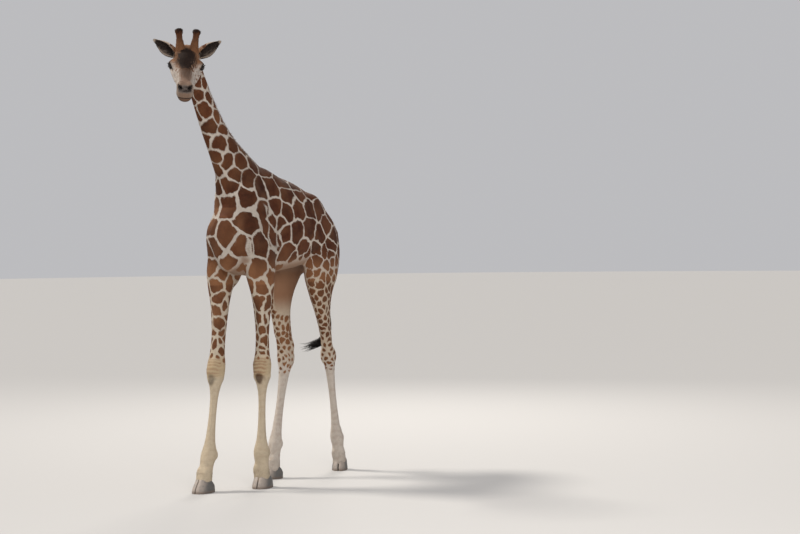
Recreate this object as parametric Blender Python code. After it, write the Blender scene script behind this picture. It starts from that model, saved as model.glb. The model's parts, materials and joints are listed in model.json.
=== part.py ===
"""Reticulated giraffe, a young adult standing with its head turned to its left.

Museum model at life size, in metres, +Z up. The animal faces -Y, its left side is +X,
and the soles of its hooves rest on Z = 0. It is drawn with X = 0 down the middle of its
body, and at the end it slides along the floor until the origin is under the middle of its
box. The flesh is shaped whole from lofted forms, melted together, and then parted with
thin flat cuts where a person would name its parts. Eyes, ears, horns, mane, tail, tuft
and hooves are pieces of their own.
"""
import math

import bmesh
import bpy
from mathutils import Matrix, Vector

# ---------------------------------------------------------------- driving dimensions
GAP = 0.0003                 # clearance kept between touching pieces
WITHERS = 2.63               # top of the shoulders above the floor
BODY_FRONT = -0.655          # breast point, along Y
BODY_BACK = 0.835            # point of the buttock, along Y
CHEST_HALF = 0.225           # half the width of the shoulders
RIB_HALF = 0.25              # half the width of the ribs
HIP_HALF = 0.215             # half the width of the hips

LEG_TOP = 1.70               # level cut just under the chest and groin
KNEE = 0.915                 # centre of the foreleg's knee (carpus)
HOCK = 1.00                  # centre of the hind leg's hock
FETLOCK = 0.30               # centre of the fetlock joint
HOOF_TOP = 0.108             # coronet, where hair meets horn

HEAD_YAW = math.radians(39)      # the face turns this far to the animal's left
HEAD_PITCH = math.radians(38)    # and points this far below level
HEAD_TILT = math.radians(-3.4)   # and leans over by this much
EYE_LINE = Vector((0.07, -1.144, 3.372))   # midway between the eyes
EYE_RADIUS = 0.0245
EYE_SPREAD = 0.113           # each eyeball's centre from the middle of the head

FORE_FEET = {"left": Vector((0.130, -0.318, 0)), "right": Vector((-0.130, -0.757, 0))}
HIND_FEET = {"left": Vector((0.100, 0.846, 0)), "right": Vector((-0.100, 0.150, 0))}
FORE_TURN = {"left": math.radians(12), "right": math.radians(0)}     # toes turned to +X
HIND_TURN = {"left": math.radians(25), "right": math.radians(-15)}

FLESH_VOXEL = 0.012          # size of the net the melted flesh is drawn with
BODY_TRIANGLES = 3800        # whole body after thinning
HEAD_TRIANGLES = 1050        # head alone, kept finer


# ---------------------------------------------------------------- clean start
for old in list(bpy.data.objects):
    bpy.data.objects.remove(old, do_unlink=True)


# ---------------------------------------------------------------- materials
def material(name, colour, roughness, metallic=0.0):
    """A plain Principled finish for one kind of surface."""
    mat = bpy.data.materials.get(name) or bpy.data.materials.new(name)
    mat.use_nodes = True
    shader = mat.node_tree.nodes["Principled BSDF"]
    shader.inputs["Base Color"].default_value = (*colour, 1.0)
    shader.inputs["Roughness"].default_value = roughness
    shader.inputs["Metallic"].default_value = metallic
    return mat


# ---------------------------------------------------------------- lofted forms
def smooth_rows(rows, per_span):
    """Rows of numbers, with a Catmull-Rom curve run through each column."""
    last = len(rows) - 1
    result = []
    for i in range(last):
        before, here = rows[max(i - 1, 0)], rows[i]
        there, after = rows[i + 1], rows[min(i + 2, last)]
        for step in range(per_span):
            t = step / per_span
            result.append([
                0.5 * (2 * b + (c - a) * t + (2 * a - 5 * b + 4 * c - d) * t * t
                       + (3 * b - a - 3 * c + d) * t ** 3)
                for a, b, c, d in zip(before, here, there, after)])
    result.append(list(rows[last]))
    return result


def ring_points(centre, side, front, half_width, front_depth, back_depth, sides, power=2.2):
    """Points of one rounded section: wide along side, deep along front and behind."""
    points = []
    for i in range(sides):
        angle = 2 * math.pi * i / sides
        c, s = math.cos(angle), math.sin(angle)
        across = math.copysign(abs(c) ** (2 / power), c) * half_width
        depth = front_depth if s > 0 else back_depth
        along = math.copysign(abs(s) ** (2 / power), s) * depth
        points.append(centre + side * across + front * along)
    return points


def skin_rings(bm, rings):
    """Join a run of rings into one closed tube, with a fan over each end."""
    loops = [[bm.verts.new(p) for p in ring] for ring in rings]
    for lower, upper in zip(loops, loops[1:]):
        for i in range(len(lower)):
            j = (i + 1) % len(lower)
            bm.faces.new((lower[i], lower[j], upper[j], upper[i]))
    for loop in (loops[0], loops[-1]):
        tip = bm.verts.new(sum((v.co for v in loop), Vector()) / len(loop))
        for i in range(len(loop)):
            bm.faces.new((loop[i], loop[(i + 1) % len(loop)], tip))


def finish_mesh(name, bm, mat, smooth=True):
    """Turn a bmesh into a named object with its faces pointing out."""
    bmesh.ops.recalc_face_normals(bm, faces=bm.faces)
    mesh = bpy.data.meshes.new(name)
    bm.to_mesh(mesh)
    bm.free()
    obj = bpy.data.objects.new(name, mesh)
    bpy.context.scene.collection.objects.link(obj)
    if smooth:
        mesh.shade_smooth()
    mesh.materials.append(mat)
    return obj


def add_ellipsoid(bm, centre, radii, tilt=0.0, turn=0.0):
    """A muscle: an egg-shaped form tilted about X and turned about Z."""
    place = (Matrix.Translation(centre) @ Matrix.Rotation(turn, 4, "Z")
             @ Matrix.Rotation(tilt, 4, "X") @ Matrix.Diagonal((*radii, 1.0)))
    bmesh.ops.create_uvsphere(bm, u_segments=20, v_segments=14, radius=1.0, matrix=place)


# ---------------------------------------------------------------- trunk
X_AXIS = Vector((1, 0, 0))
Y_AXIS = Vector((0, 1, 0))
Z_AXIS = Vector((0, 0, 1))


def add_trunk(bm):
    """Barrel of the body: upright sections from the breast to the buttocks."""
    length = BODY_BACK - BODY_FRONT
    # share of the length, height of the middle, rise to the back, drop to the belly, half width
    rows = [
        (0.00, 2.04, 0.05, 0.07, 0.06),
        (0.04, 2.04, 0.19, 0.18, 0.140),
        (0.11, 2.05, 0.33, 0.29, CHEST_HALF * 0.86),
        (0.21, 2.06, 0.42, 0.34, CHEST_HALF * 0.97),
        (0.34, 2.07, WITHERS - 2.07, 0.35, RIB_HALF * 0.93),
        (0.48, 2.07, 0.495, 0.325, RIB_HALF),
        (0.61, 2.07, 0.435, 0.305, RIB_HALF),
        (0.73, 2.08, 0.365, 0.285, RIB_HALF * 0.95),
        (0.84, 2.08, 0.265, 0.25, HIP_HALF),
        (0.93, 2.04, 0.170, 0.22, HIP_HALF * 0.80),
        (0.985, 1.98, 0.085, 0.17, 0.105),
        (1.00, 1.95, 0.03, 0.08, 0.04),
    ]
    rings = []
    for share, middle, up, down, half in smooth_rows(rows, 3):
        centre = Vector((0, BODY_FRONT + share * length, middle))
        rings.append(ring_points(centre, X_AXIS, Z_AXIS, half, up, down, 28, 2.15))
    skin_rings(bm, rings)
    # shoulder blades, hips and buttocks stand out from the barrel
    for side in (-1, 1):
        add_ellipsoid(bm, (side * 0.125, -0.33, 2.16), (0.092, 0.17, 0.34), tilt=0.42)
        add_ellipsoid(bm, (side * 0.158, -0.485, 2.03), (0.082, 0.125, 0.17))
        add_ellipsoid(bm, (side * 0.105, 0.44, 2.24), (0.095, 0.17, 0.15), tilt=-0.3)
        add_ellipsoid(bm, (side * 0.118, 0.60, 1.98), (0.098, 0.175, 0.27), tilt=0.2)


# ---------------------------------------------------------------- neck
NECK_ROWS = [
    # x, y, z of the middle, half width, depth at the throat side, depth at the mane side
    (0.000, -0.18, 2.18, 0.170, 0.30, 0.335),
    (0.000, -0.34, 2.37, 0.150, 0.260, 0.330),
    (0.000, -0.49, 2.56, 0.122, 0.180, 0.222),
    (0.000, -0.62, 2.74, 0.098, 0.132, 0.148),
    (0.000, -0.735, 2.92, 0.083, 0.105, 0.100),
    (0.000, -0.840, 3.09, 0.074, 0.088, 0.078),
    (0.003, -0.925, 3.235, 0.070, 0.082, 0.064),
    (0.015, -0.990, 3.355, 0.068, 0.080, 0.060),
]


def neck_sections():
    """Places, side vectors and depths along the neck, from the shoulders to the head."""
    rows = smooth_rows(NECK_ROWS, 3)
    sections = []
    for i, row in enumerate(rows):
        here = Vector(row[:3])
        ahead = Vector(rows[min(i + 1, len(rows) - 1)][:3])
        behind = Vector(rows[max(i - 1, 0)][:3])
        direction = (ahead - behind).normalized()
        front = direction.cross(X_AXIS).normalized()
        if front.y > 0:
            front.negate()
        side = front.cross(direction).normalized()
        sections.append((here, side, front, row[3], row[4], row[5]))
    return sections


def add_neck(bm):
    """The long neck, deep at the shoulders and slim behind the jaw."""
    rings = [ring_points(*section, 22, 2.1) for section in neck_sections()]
    skin_rings(bm, rings)


# ---------------------------------------------------------------- head
def head_frame():
    """Head's own frame: X along the face, Y to the animal's left, Z up from the brow."""
    forward = Vector((math.sin(HEAD_YAW) * math.cos(HEAD_PITCH),
                      -math.cos(HEAD_YAW) * math.cos(HEAD_PITCH),
                      -math.sin(HEAD_PITCH)))
    left = Vector((math.cos(HEAD_YAW), math.sin(HEAD_YAW), 0))
    up = forward.cross(left).normalized()
    base = Matrix((forward, left, up)).transposed().to_4x4()
    gaze = Vector((math.sin(HEAD_YAW), -math.cos(HEAD_YAW), 0))
    lean = Matrix.Rotation(HEAD_TILT, 4, gaze)
    return Matrix.Translation(EYE_LINE) @ lean @ base


HEAD = head_frame()


def head_point(along, left, up):
    """A point given in the head's own frame."""
    return HEAD @ Vector((along, left, up))


def head_vector(along, left, up):
    """A direction given in the head's own frame."""
    return (HEAD.to_3x3() @ Vector((along, left, up))).normalized()


HEAD_ROWS = [
    # along the face, top line, bottom line, half width
    (-0.205, 0.020, -0.060, 0.040),
    (-0.190, 0.045, -0.090, 0.062),
    (-0.150, 0.068, -0.118, 0.080),
    (-0.100, 0.080, -0.138, 0.094),
    (-0.040, 0.084, -0.145, 0.106),
    (0.020, 0.078, -0.134, 0.111),
    (0.075, 0.060, -0.118, 0.104),
    (0.135, 0.044, -0.106, 0.090),
    (0.200, 0.034, -0.100, 0.073),
    (0.255, 0.030, -0.100, 0.062),
    (0.300, 0.024, -0.105, 0.064),
    (0.335, 0.004, -0.108, 0.056),
    (0.358, -0.028, -0.100, 0.040),
    (0.366, -0.048, -0.082, 0.020),
]


def add_head(bm):
    """Skull, jaw and muzzle as one lofted form, with brows, cheeks and lips added."""
    side, up = head_vector(0, 1, 0), head_vector(0, 0, 1)
    rings = []
    for along, top, bottom, half in smooth_rows(HEAD_ROWS, 3):
        middle = 0.5 * (top + bottom)
        reach = 0.5 * (top - bottom)
        rings.append(ring_points(head_point(along, 0, middle), side, up, half, reach, reach, 24, 2.25))
    skin_rings(bm, rings)
    turn = HEAD.to_3x3().to_4x4()

    def lump(along, left, height, radii):
        place = Matrix.Translation(head_point(along, left, height)) @ turn @ Matrix.Diagonal((*radii, 1))
        bmesh.ops.create_uvsphere(bm, u_segments=16, v_segments=10, radius=1.0, matrix=place)

    lump(0.010, 0, 0.060, (0.070, 0.052, 0.036))            # median lump of the forehead
    lump(0.330, 0, -0.088, (0.045, 0.050, 0.030))           # lower lip and chin
    for s in (-1, 1):
        lump(0.000, s * 0.098, 0.004, (0.052, 0.037, 0.040))   # eye socket's rim
        lump(-0.050, s * 0.070, -0.070, (0.070, 0.032, 0.058))   # cheek muscle
        lump(0.290, s * 0.036, -0.006, (0.040, 0.026, 0.030))   # nostril
        lump(-0.055, s * 0.050, 0.078, (0.040, 0.034, 0.030))   # foot of the horn


# ---------------------------------------------------------------- legs
# Each leg hangs on its joints: place of every joint along X and Y, with its height.
FORE_JOINTS = {
    "left": [Vector((0.130, -0.318, 0.10)), Vector((0.130, -0.325, FETLOCK)),
             Vector((0.132, -0.300, KNEE)), Vector((0.150, -0.315, 1.62)),
             Vector((0.150, -0.360, 2.00))],
    "right": [Vector((-0.130, -0.745, 0.10)), Vector((-0.130, -0.682, FETLOCK)),
              Vector((-0.136, -0.566, KNEE)), Vector((-0.160, -0.462, 1.62)),
              Vector((-0.160, -0.430, 2.00))],
}
HIND_JOINTS = {
    "left": [Vector((0.100, 0.842, 0.10)), Vector((0.100, 0.806, FETLOCK)),
             Vector((0.104, 0.690, HOCK)), Vector((0.150, 0.500, 1.62)),
             Vector((0.125, 0.560, 2.00))],
    "right": [Vector((-0.100, 0.150, 0.10)), Vector((-0.100, 0.176, FETLOCK)),
              Vector((-0.102, 0.345, HOCK)), Vector((-0.150, 0.340, 1.62)),
              Vector((-0.125, 0.520, 2.00))],
}
# bone counted from the foot, share of its length, half width, depth in front and behind
FORE_ROWS = [
    (0, 0.00, 0.066, 0.066, 0.058), (0, 0.50, 0.056, 0.055, 0.054), (0, 0.97, 0.064, 0.058, 0.067),
    (1, 0.17, 0.046, 0.045, 0.056), (1, 0.42, 0.036, 0.036, 0.047), (1, 0.70, 0.039, 0.038, 0.049),
    (1, 0.86, 0.053, 0.052, 0.058), (1, 0.98, 0.067, 0.074, 0.066), (2, 0.13, 0.072, 0.082, 0.072),
    (2, 0.28, 0.059, 0.062, 0.068), (2, 0.50, 0.056, 0.056, 0.070), (2, 0.80, 0.073, 0.078, 0.090),
    (3, 0.05, 0.086, 0.108, 0.120), (3, 0.45, 0.088, 0.135, 0.155), (3, 1.00, 0.072, 0.125, 0.140),
]
HIND_ROWS = [
    (0, 0.00, 0.058, 0.058, 0.052), (0, 0.50, 0.050, 0.050, 0.050), (0, 0.97, 0.058, 0.052, 0.058),
    (1, 0.17, 0.042, 0.042, 0.048), (1, 0.48, 0.035, 0.037, 0.045), (1, 0.80, 0.044, 0.050, 0.062),
    (1, 0.98, 0.056, 0.072, 0.090), (2, 0.18, 0.052, 0.076, 0.078), (2, 0.42, 0.055, 0.090, 0.064),
    (2, 0.66, 0.068, 0.112, 0.084), (2, 0.90, 0.088, 0.145, 0.150), (3, 0.25, 0.100, 0.185, 0.230),
    (3, 0.70, 0.105, 0.205, 0.245), (3, 1.15, 0.085, 0.185, 0.215),
]


TURN_ENDS = 1.66             # height at which the turn of a foot has faded out of its leg


def leg_rings(joints, rows, turn):
    """Level sections up one leg, hung on its joints and turned out like its foot."""
    places = []
    for bone, share, *half_sizes in rows:
        middle = joints[bone].lerp(joints[bone + 1], share)
        places.append((*middle, *half_sizes))
    rings = []
    for x, y, z, half, ahead, behind in smooth_rows(places, 3):
        fade = min(1.0, max(0.0, (TURN_ENDS - z) / 0.40))
        twist = Matrix.Rotation(turn * fade, 3, "Z")
        rings.append(ring_points(Vector((x, y, z)), twist @ X_AXIS, twist @ -Y_AXIS,
                                 half, ahead, behind, 20, 2.2))
    return rings


def add_legs(bm):
    """All four legs, each from its coronet into the body."""
    for side in ("left", "right"):
        skin_rings(bm, leg_rings(FORE_JOINTS[side], FORE_ROWS, FORE_TURN[side]))
        skin_rings(bm, leg_rings(HIND_JOINTS[side], HIND_ROWS, HIND_TURN[side]))


# ---------------------------------------------------------------- melting and thinning
def evaluated_copy(obj, name):
    """A plain mesh copy of an object as its modifiers leave it."""
    graph = bpy.context.evaluated_depsgraph_get()
    graph.update()
    mesh = bpy.data.meshes.new_from_object(obj.evaluated_get(graph))
    mesh.name = name
    copy = bpy.data.objects.new(name, mesh)
    bpy.context.scene.collection.objects.link(copy)
    return copy


def thinned(obj, name, triangles):
    """A copy of a closed mesh with about this many triangles."""
    copy = evaluated_copy(obj, name)
    thin = copy.modifiers.new("thin", "DECIMATE")
    count = sum(len(p.vertices) - 2 for p in copy.data.polygons)
    thin.ratio = min(1.0, triangles / count)
    thin.use_collapse_triangulate = True
    result = evaluated_copy(copy, name)
    bpy.data.objects.remove(copy, do_unlink=True)
    return result


def torso_share(place):
    """How far a point belongs to the big round forms, from 0 on legs and head to 1."""
    above_legs = min(1.0, max(0.0, (place.z - 1.55) / 0.30))
    below_head = min(1.0, max(0.0, (2.95 - place.z) / 0.25))
    return above_legs * below_head


def melted_flesh(mat):
    """Trunk, neck, head and legs as one closed skin."""
    bm = bmesh.new()
    add_trunk(bm)
    add_neck(bm)
    add_head(bm)
    add_legs(bm)
    rough = finish_mesh("rough_flesh", bm, mat)
    melt = rough.modifiers.new("melt", "REMESH")
    melt.mode = "VOXEL"
    melt.voxel_size = FLESH_VOXEL
    melted = evaluated_copy(rough, "melted_flesh")
    bpy.data.objects.remove(rough, do_unlink=True)
    torso = melted.vertex_groups.new(name="torso")
    for vert in melted.data.vertices:
        torso.add([vert.index], torso_share(vert.co), "REPLACE")
    for group, rounds in (("", 3), ("torso", 40)):
        ease = melted.modifiers.new("ease", "SMOOTH")
        ease.factor = 0.5
        ease.iterations = rounds
        ease.vertex_group = group
    whole = evaluated_copy(melted, "whole_flesh")
    bpy.data.objects.remove(melted, do_unlink=True)
    return whole


# ---------------------------------------------------------------- parting the flesh
def keep_side(bm, point, normal):
    """Cut a closed form with a plane, keep the side the normal points to, and cap it."""
    geometry = bm.verts[:] + bm.edges[:] + bm.faces[:]
    cut = bmesh.ops.bisect_plane(bm, geom=geometry, plane_co=point, plane_no=normal,
                                 clear_inner=True, dist=1e-7)
    rim = [e for e in cut["geom_cut"] if isinstance(e, bmesh.types.BMEdge)]
    if rim:
        bmesh.ops.holes_fill(bm, edges=rim, sides=0)


def islands(bm):
    """The separate closed bodies of a mesh, as sets of vertices."""
    left = set(bm.verts)
    groups = []
    while left:
        stack = [left.pop()]
        group = set(stack)
        while stack:
            for edge in stack.pop().link_edges:
                for vert in edge.verts:
                    if vert in left:
                        left.discard(vert)
                        group.add(vert)
                        stack.append(vert)
        groups.append(group)
    return groups


def keep_island(bm, wanted):
    """Keep only the body whose middle is nearest to the wanted point."""
    groups = islands(bm)
    middles = [sum((v.co for v in g), Vector()) / len(g) for g in groups]
    best = min(range(len(groups)), key=lambda i: (middles[i] - wanted).length)
    drop = [v for i, g in enumerate(groups) if i != best for v in g]
    bmesh.ops.delete(bm, geom=drop, context="VERTS")


def part_of(source, name, mat, planes, wanted):
    """The piece of a closed form between some cutting planes, nearest a wanted point."""
    bm = bmesh.new()
    bm.from_mesh(source.data)
    for point, normal in planes:
        normal = Vector(normal).normalized()
        keep_side(bm, Vector(point) + normal * (GAP / 2), normal)
    keep_island(bm, Vector(wanted))
    bmesh.ops.triangulate(bm, faces=[f for f in bm.faces if len(f.verts) > 4])
    return finish_mesh(name, bm, mat)


HEAD_CUT = (head_point(-0.13, 0, -0.16), Vector((0.35, -0.90, 0.25)).normalized())
NECK_CUT = (Vector((0, -0.42, 2.36)), Vector((0, -0.66, 0.75)).normalized())


def flipped(plane):
    """The same plane, keeping the other side."""
    return plane[0], -plane[1]


def level(height, upward=True):
    """A level cutting plane."""
    return Vector((0, 0, height)), (Z_AXIS if upward else -Z_AXIS)


def part_flesh(body, fine_head, skin_mat):
    """Cut the melted flesh into head, neck, trunk and the upper and lower legs."""
    pieces = {}
    pieces["head"] = part_of(fine_head, "head", skin_mat, [HEAD_CUT], EYE_LINE)
    pieces["neck"] = part_of(body, "neck", skin_mat, [flipped(HEAD_CUT), NECK_CUT], (0, -0.7, 2.9))
    pieces["trunk"] = part_of(body, "trunk", skin_mat, [flipped(NECK_CUT), level(LEG_TOP)], (0, 0, 2.1))
    for side in ("left", "right"):
        for end, feet, joint in (("fore", FORE_FEET, KNEE), ("hind", HIND_FEET, HOCK)):
            foot = feet[side]
            upper, lower = f"{end}leg_upper_{side}", f"{end}leg_lower_{side}"
            planes = [level(LEG_TOP, False), level(joint)]
            pieces[upper] = part_of(body, upper, skin_mat, planes, foot + Z_AXIS * 1.35)
            planes = [level(joint, False), level(HOOF_TOP)]
            pieces[lower] = part_of(body, lower, skin_mat, planes, foot + Z_AXIS * 0.55)
    return pieces


# ---------------------------------------------------------------- hooves
def hoof_claw(name, foot, turn, side, size, mat):
    """One claw of a cloven hoof: flat sole, sloping wall, pointed towards the front."""
    half_width, toe, heel = size
    slit = 0.0035
    outline = [(0.0, -toe), (0.38, -toe * 0.96), (0.80, -toe * 0.55), (1.0, -toe * 0.02),
               (0.96, heel * 0.55), (0.62, heel * 0.97), (0.10, heel)]
    levels = [(0.0, 1.0, 0.0), (0.25, 0.995, 0.004), (0.60, 0.93, 0.018), (1.0, 0.83, 0.036)]
    bm = bmesh.new()
    rings = []
    for share, scale, lean in levels:
        ring = []
        for across, along in outline:
            x = side * (slit + (half_width - slit) * across * scale)
            y = along * scale + lean
            height = share * (HOOF_TOP - GAP / 2)
            ring.append(foot + Matrix.Rotation(turn, 3, "Z") @ Vector((x, y, height)))
        rings.append(ring)
    loops = [[bm.verts.new(p) for p in ring] for ring in rings]
    for lower, upper in zip(loops, loops[1:]):
        for i in range(len(lower)):
            j = (i + 1) % len(lower)
            bm.faces.new((lower[i], lower[j], upper[j], upper[i]))
    bm.faces.new(loops[0])
    bm.faces.new(loops[-1])
    bmesh.ops.triangulate(bm, faces=[f for f in bm.faces if len(f.verts) > 4])
    return finish_mesh(name, bm, mat, smooth=False)


def add_hooves(mat):
    """Eight claws, two under each leg, all with their soles on the floor."""
    for end, feet, turns, size in (("fore", FORE_FEET, FORE_TURN, (0.079, 0.108, 0.080)),
                                   ("hind", HIND_FEET, HIND_TURN, (0.067, 0.094, 0.064))):
        for leg in ("left", "right"):
            for claw, side in (("a", 1), ("b", -1)):
                hoof_claw(f"hoof_{end}_{leg}_{claw}", feet[leg], turns[leg], side, size, mat)


# ---------------------------------------------------------------- eyes, horns and ears
def eye_centre(side):
    """Middle of one eyeball."""
    return head_point(0.004, side * EYE_SPREAD, 0.0)


def add_eyes(mat):
    """Two eyeballs, set in their sockets."""
    eyes = []
    for side, word in ((1, "left"), (-1, "right")):
        bm = bmesh.new()
        bmesh.ops.create_uvsphere(bm, u_segments=14, v_segments=9, radius=EYE_RADIUS,
                                  matrix=Matrix.Translation(eye_centre(side)))
        eyes.append(finish_mesh(f"eye_{word}", bm, mat))
    return eyes


def keep_largest(obj):
    """Drop the loose scraps that a cut leaves, and turn the faces outward."""
    bm = bmesh.new()
    bm.from_mesh(obj.data)
    biggest = max(islands(bm), key=len)
    bmesh.ops.delete(bm, geom=[v for v in bm.verts if v not in biggest], context="VERTS")
    bmesh.ops.recalc_face_normals(bm, faces=bm.faces)
    bm.to_mesh(obj.data)
    bm.free()


def cut_with(obj, cutter):
    """Take one closed form out of another for good."""
    tool = obj.modifiers.new("cut", "BOOLEAN")
    tool.operation = "DIFFERENCE"
    tool.solver = "EXACT"
    tool.object = cutter
    name = obj.name
    result = evaluated_copy(obj, name + "_cut")
    bpy.data.objects.remove(obj, do_unlink=True)
    result.name = name
    keep_largest(result)
    return result


def swollen(obj, amount):
    """A slightly larger copy of a form, used as a cutter that leaves the gap."""
    copy = evaluated_copy(obj, obj.name + "_cutter")
    for vert, normal in zip(copy.data.vertices, [n.vector.copy() for n in copy.data.vertex_normals]):
        vert.co += normal * amount
    copy.hide_render = True
    copy.display_type = "WIRE"
    return copy


HORN_FOOT = (-0.060, 0.050, 0.085)
HORN_TIP = (-0.136, 0.069, 0.232)


def add_horns(mat):
    """Two ossicones: blunt skin-covered horns, waisted, with a tuft round the top."""
    horns = []
    for side, word in ((1, "left"), (-1, "right")):
        foot = head_point(HORN_FOOT[0], side * HORN_FOOT[1], HORN_FOOT[2])
        tip = head_point(HORN_TIP[0], side * HORN_TIP[1], HORN_TIP[2])
        axis = (tip - foot).normalized()
        across = axis.cross(head_vector(1, 0, 0)).normalized()
        front = across.cross(axis).normalized()
        rows = [(-0.12, 0.037), (0.10, 0.032), (0.35, 0.026), (0.60, 0.0235), (0.80, 0.026),
                (0.93, 0.028), (1.0, 0.020), (1.02, 0.008)]
        rings = []
        for share, radius in smooth_rows(rows, 2):
            rings.append(ring_points(foot.lerp(tip, share), across, front, radius, radius, radius, 12, 2))
        bm = bmesh.new()
        skin_rings(bm, rings)
        horns.append(finish_mesh(f"horn_{word}", bm, mat))
    return horns


EAR_FOOT = (-0.115, 0.078, 0.024)
EAR_TIP = {"left": (-0.150, 0.246, 0.134), "right": (-0.150, 0.248, 0.112)}
EAR_WIDTH = 0.092
EAR_THICKNESS = 0.005
EAR_SPANS = 9
EAR_POINTS = 7


def add_ears(mat):
    """Two ears: leaf-shaped cups, open to the front, rolled into a stalk at the foot."""
    ears = []
    for side, word in ((1, "left"), (-1, "right")):
        foot = head_point(EAR_FOOT[0], side * EAR_FOOT[1], EAR_FOOT[2])
        tip = head_point(EAR_TIP[word][0], side * EAR_TIP[word][1], EAR_TIP[word][2])
        axis = (tip - foot).normalized()
        opening = head_vector(0.90, side * 0.10, 0.10)
        across = axis.cross(opening).normalized()
        opening = across.cross(axis).normalized()
        rings = []
        for i in range(EAR_SPANS + 1):
            t = i / EAR_SPANS
            width = EAR_WIDTH * 0.5 * (0.42 + 0.58 * math.sin(math.pi * min(1, t * 1.05 + 0.08))) \
                * (1 - t ** 5) ** 0.5 + 0.003
            roll = 2.5 - 1.35 * t          # how far the leaf is rolled into a cup
            radius = width / math.sin(min(roll, math.pi / 2) if roll < math.pi / 2 else math.pi / 2)
            centre = foot.lerp(tip, t) + opening * (radius * 0.35)
            inner, outer = [], []
            for j in range(EAR_POINTS):
                angle = roll * (2 * j / (EAR_POINTS - 1) - 1)
                direction = across * math.sin(angle) - opening * math.cos(angle)
                outer.append(centre + direction * radius)
                inner.append(centre + direction * max(radius - EAR_THICKNESS, 0.0008))
            rings.append(outer + inner[::-1])
        bm = bmesh.new()
        loops = [[bm.verts.new(p) for p in ring] for ring in rings]
        for lower, upper in zip(loops, loops[1:]):
            for i in range(len(lower)):
                j = (i + 1) % len(lower)
                bm.faces.new((lower[i], lower[j], upper[j], upper[i]))
        for loop in (loops[0], loops[-1]):
            half = len(loop) // 2
            for i in range(half - 1):
                bm.faces.new((loop[i], loop[i + 1], loop[-2 - i], loop[-1 - i]))
        ears.append(finish_mesh(f"ear_{word}", bm, mat))
    return ears


# ---------------------------------------------------------------- mane and tail
MANE_HEIGHT = 0.042
MANE_HALF = 0.014


def add_mane(mat):
    """The short upright mane, a low ridge from behind the horns to the withers."""
    sections = neck_sections()[3::2]
    rings = []
    count = len(sections)
    for i, (centre, side, front, half, throat, back) in enumerate(sections):
        share = i / (count - 1)
        rise = MANE_HEIGHT * min(1.0, 0.35 + 3.0 * share, 0.55 + 3.0 * (1 - share))
        crest = centre - front * (back + rise * 0.5 - 0.012)
        rings.append(ring_points(crest, side, front, MANE_HALF, rise * 0.5 + 0.012,
                                 rise * 0.5 + 0.012, 8, 2.0))
    bm = bmesh.new()
    skin_rings(bm, rings)
    return finish_mesh("mane", bm, mat)


TAIL_ROWS = [
    # x, y, z, radius
    (0.000, 0.750, 2.170, 0.036),
    (0.000, 0.806, 2.090, 0.035),
    (0.000, 0.848, 1.960, 0.028),
    (0.000, 0.866, 1.800, 0.021),
    (0.000, 0.866, 1.620, 0.017),
    (0.000, 0.858, 1.480, 0.015),
    (0.000, 0.852, 1.405, 0.015),
]
TUFT_ROWS = [
    (0.000, 0.852, 1.4035, 0.017),
    (0.000, 0.848, 1.320, 0.026),
    (-0.004, 0.842, 1.240, 0.032),
    (-0.020, 0.830, 1.165, 0.037),
    (-0.058, 0.808, 1.115, 0.040),
    (-0.110, 0.778, 1.085, 0.036),
    (-0.165, 0.746, 1.062, 0.026),
    (-0.225, 0.712, 1.046, 0.006),
]


def tube_along(name, rows, sides, mat):
    """A round, tapering tube through the given places."""
    places = smooth_rows(rows, 2)
    rings = []
    for i, row in enumerate(places):
        here = Vector(row[:3])
        ahead = Vector(places[min(i + 1, len(places) - 1)][:3])
        behind = Vector(places[max(i - 1, 0)][:3])
        direction = (ahead - behind).normalized()
        side = direction.cross(Y_AXIS).normalized()
        front = side.cross(direction).normalized()
        rings.append(ring_points(here, side, front, row[3], row[3], row[3], sides, 2))
    bm = bmesh.new()
    skin_rings(bm, rings)
    return finish_mesh(name, bm, mat)


# ---------------------------------------------------------------- the whole animal
def stand_over_origin():
    """Slide every piece along the floor until the origin is under the middle of the box."""
    objects = list(bpy.data.objects)
    corners = [v.co for obj in objects for v in obj.data.vertices]
    middle_x = (min(c.x for c in corners) + max(c.x for c in corners)) / 2
    middle_y = (min(c.y for c in corners) + max(c.y for c in corners)) / 2
    for obj in objects:
        obj.data.transform(Matrix.Translation((-middle_x, -middle_y, 0)))


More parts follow.
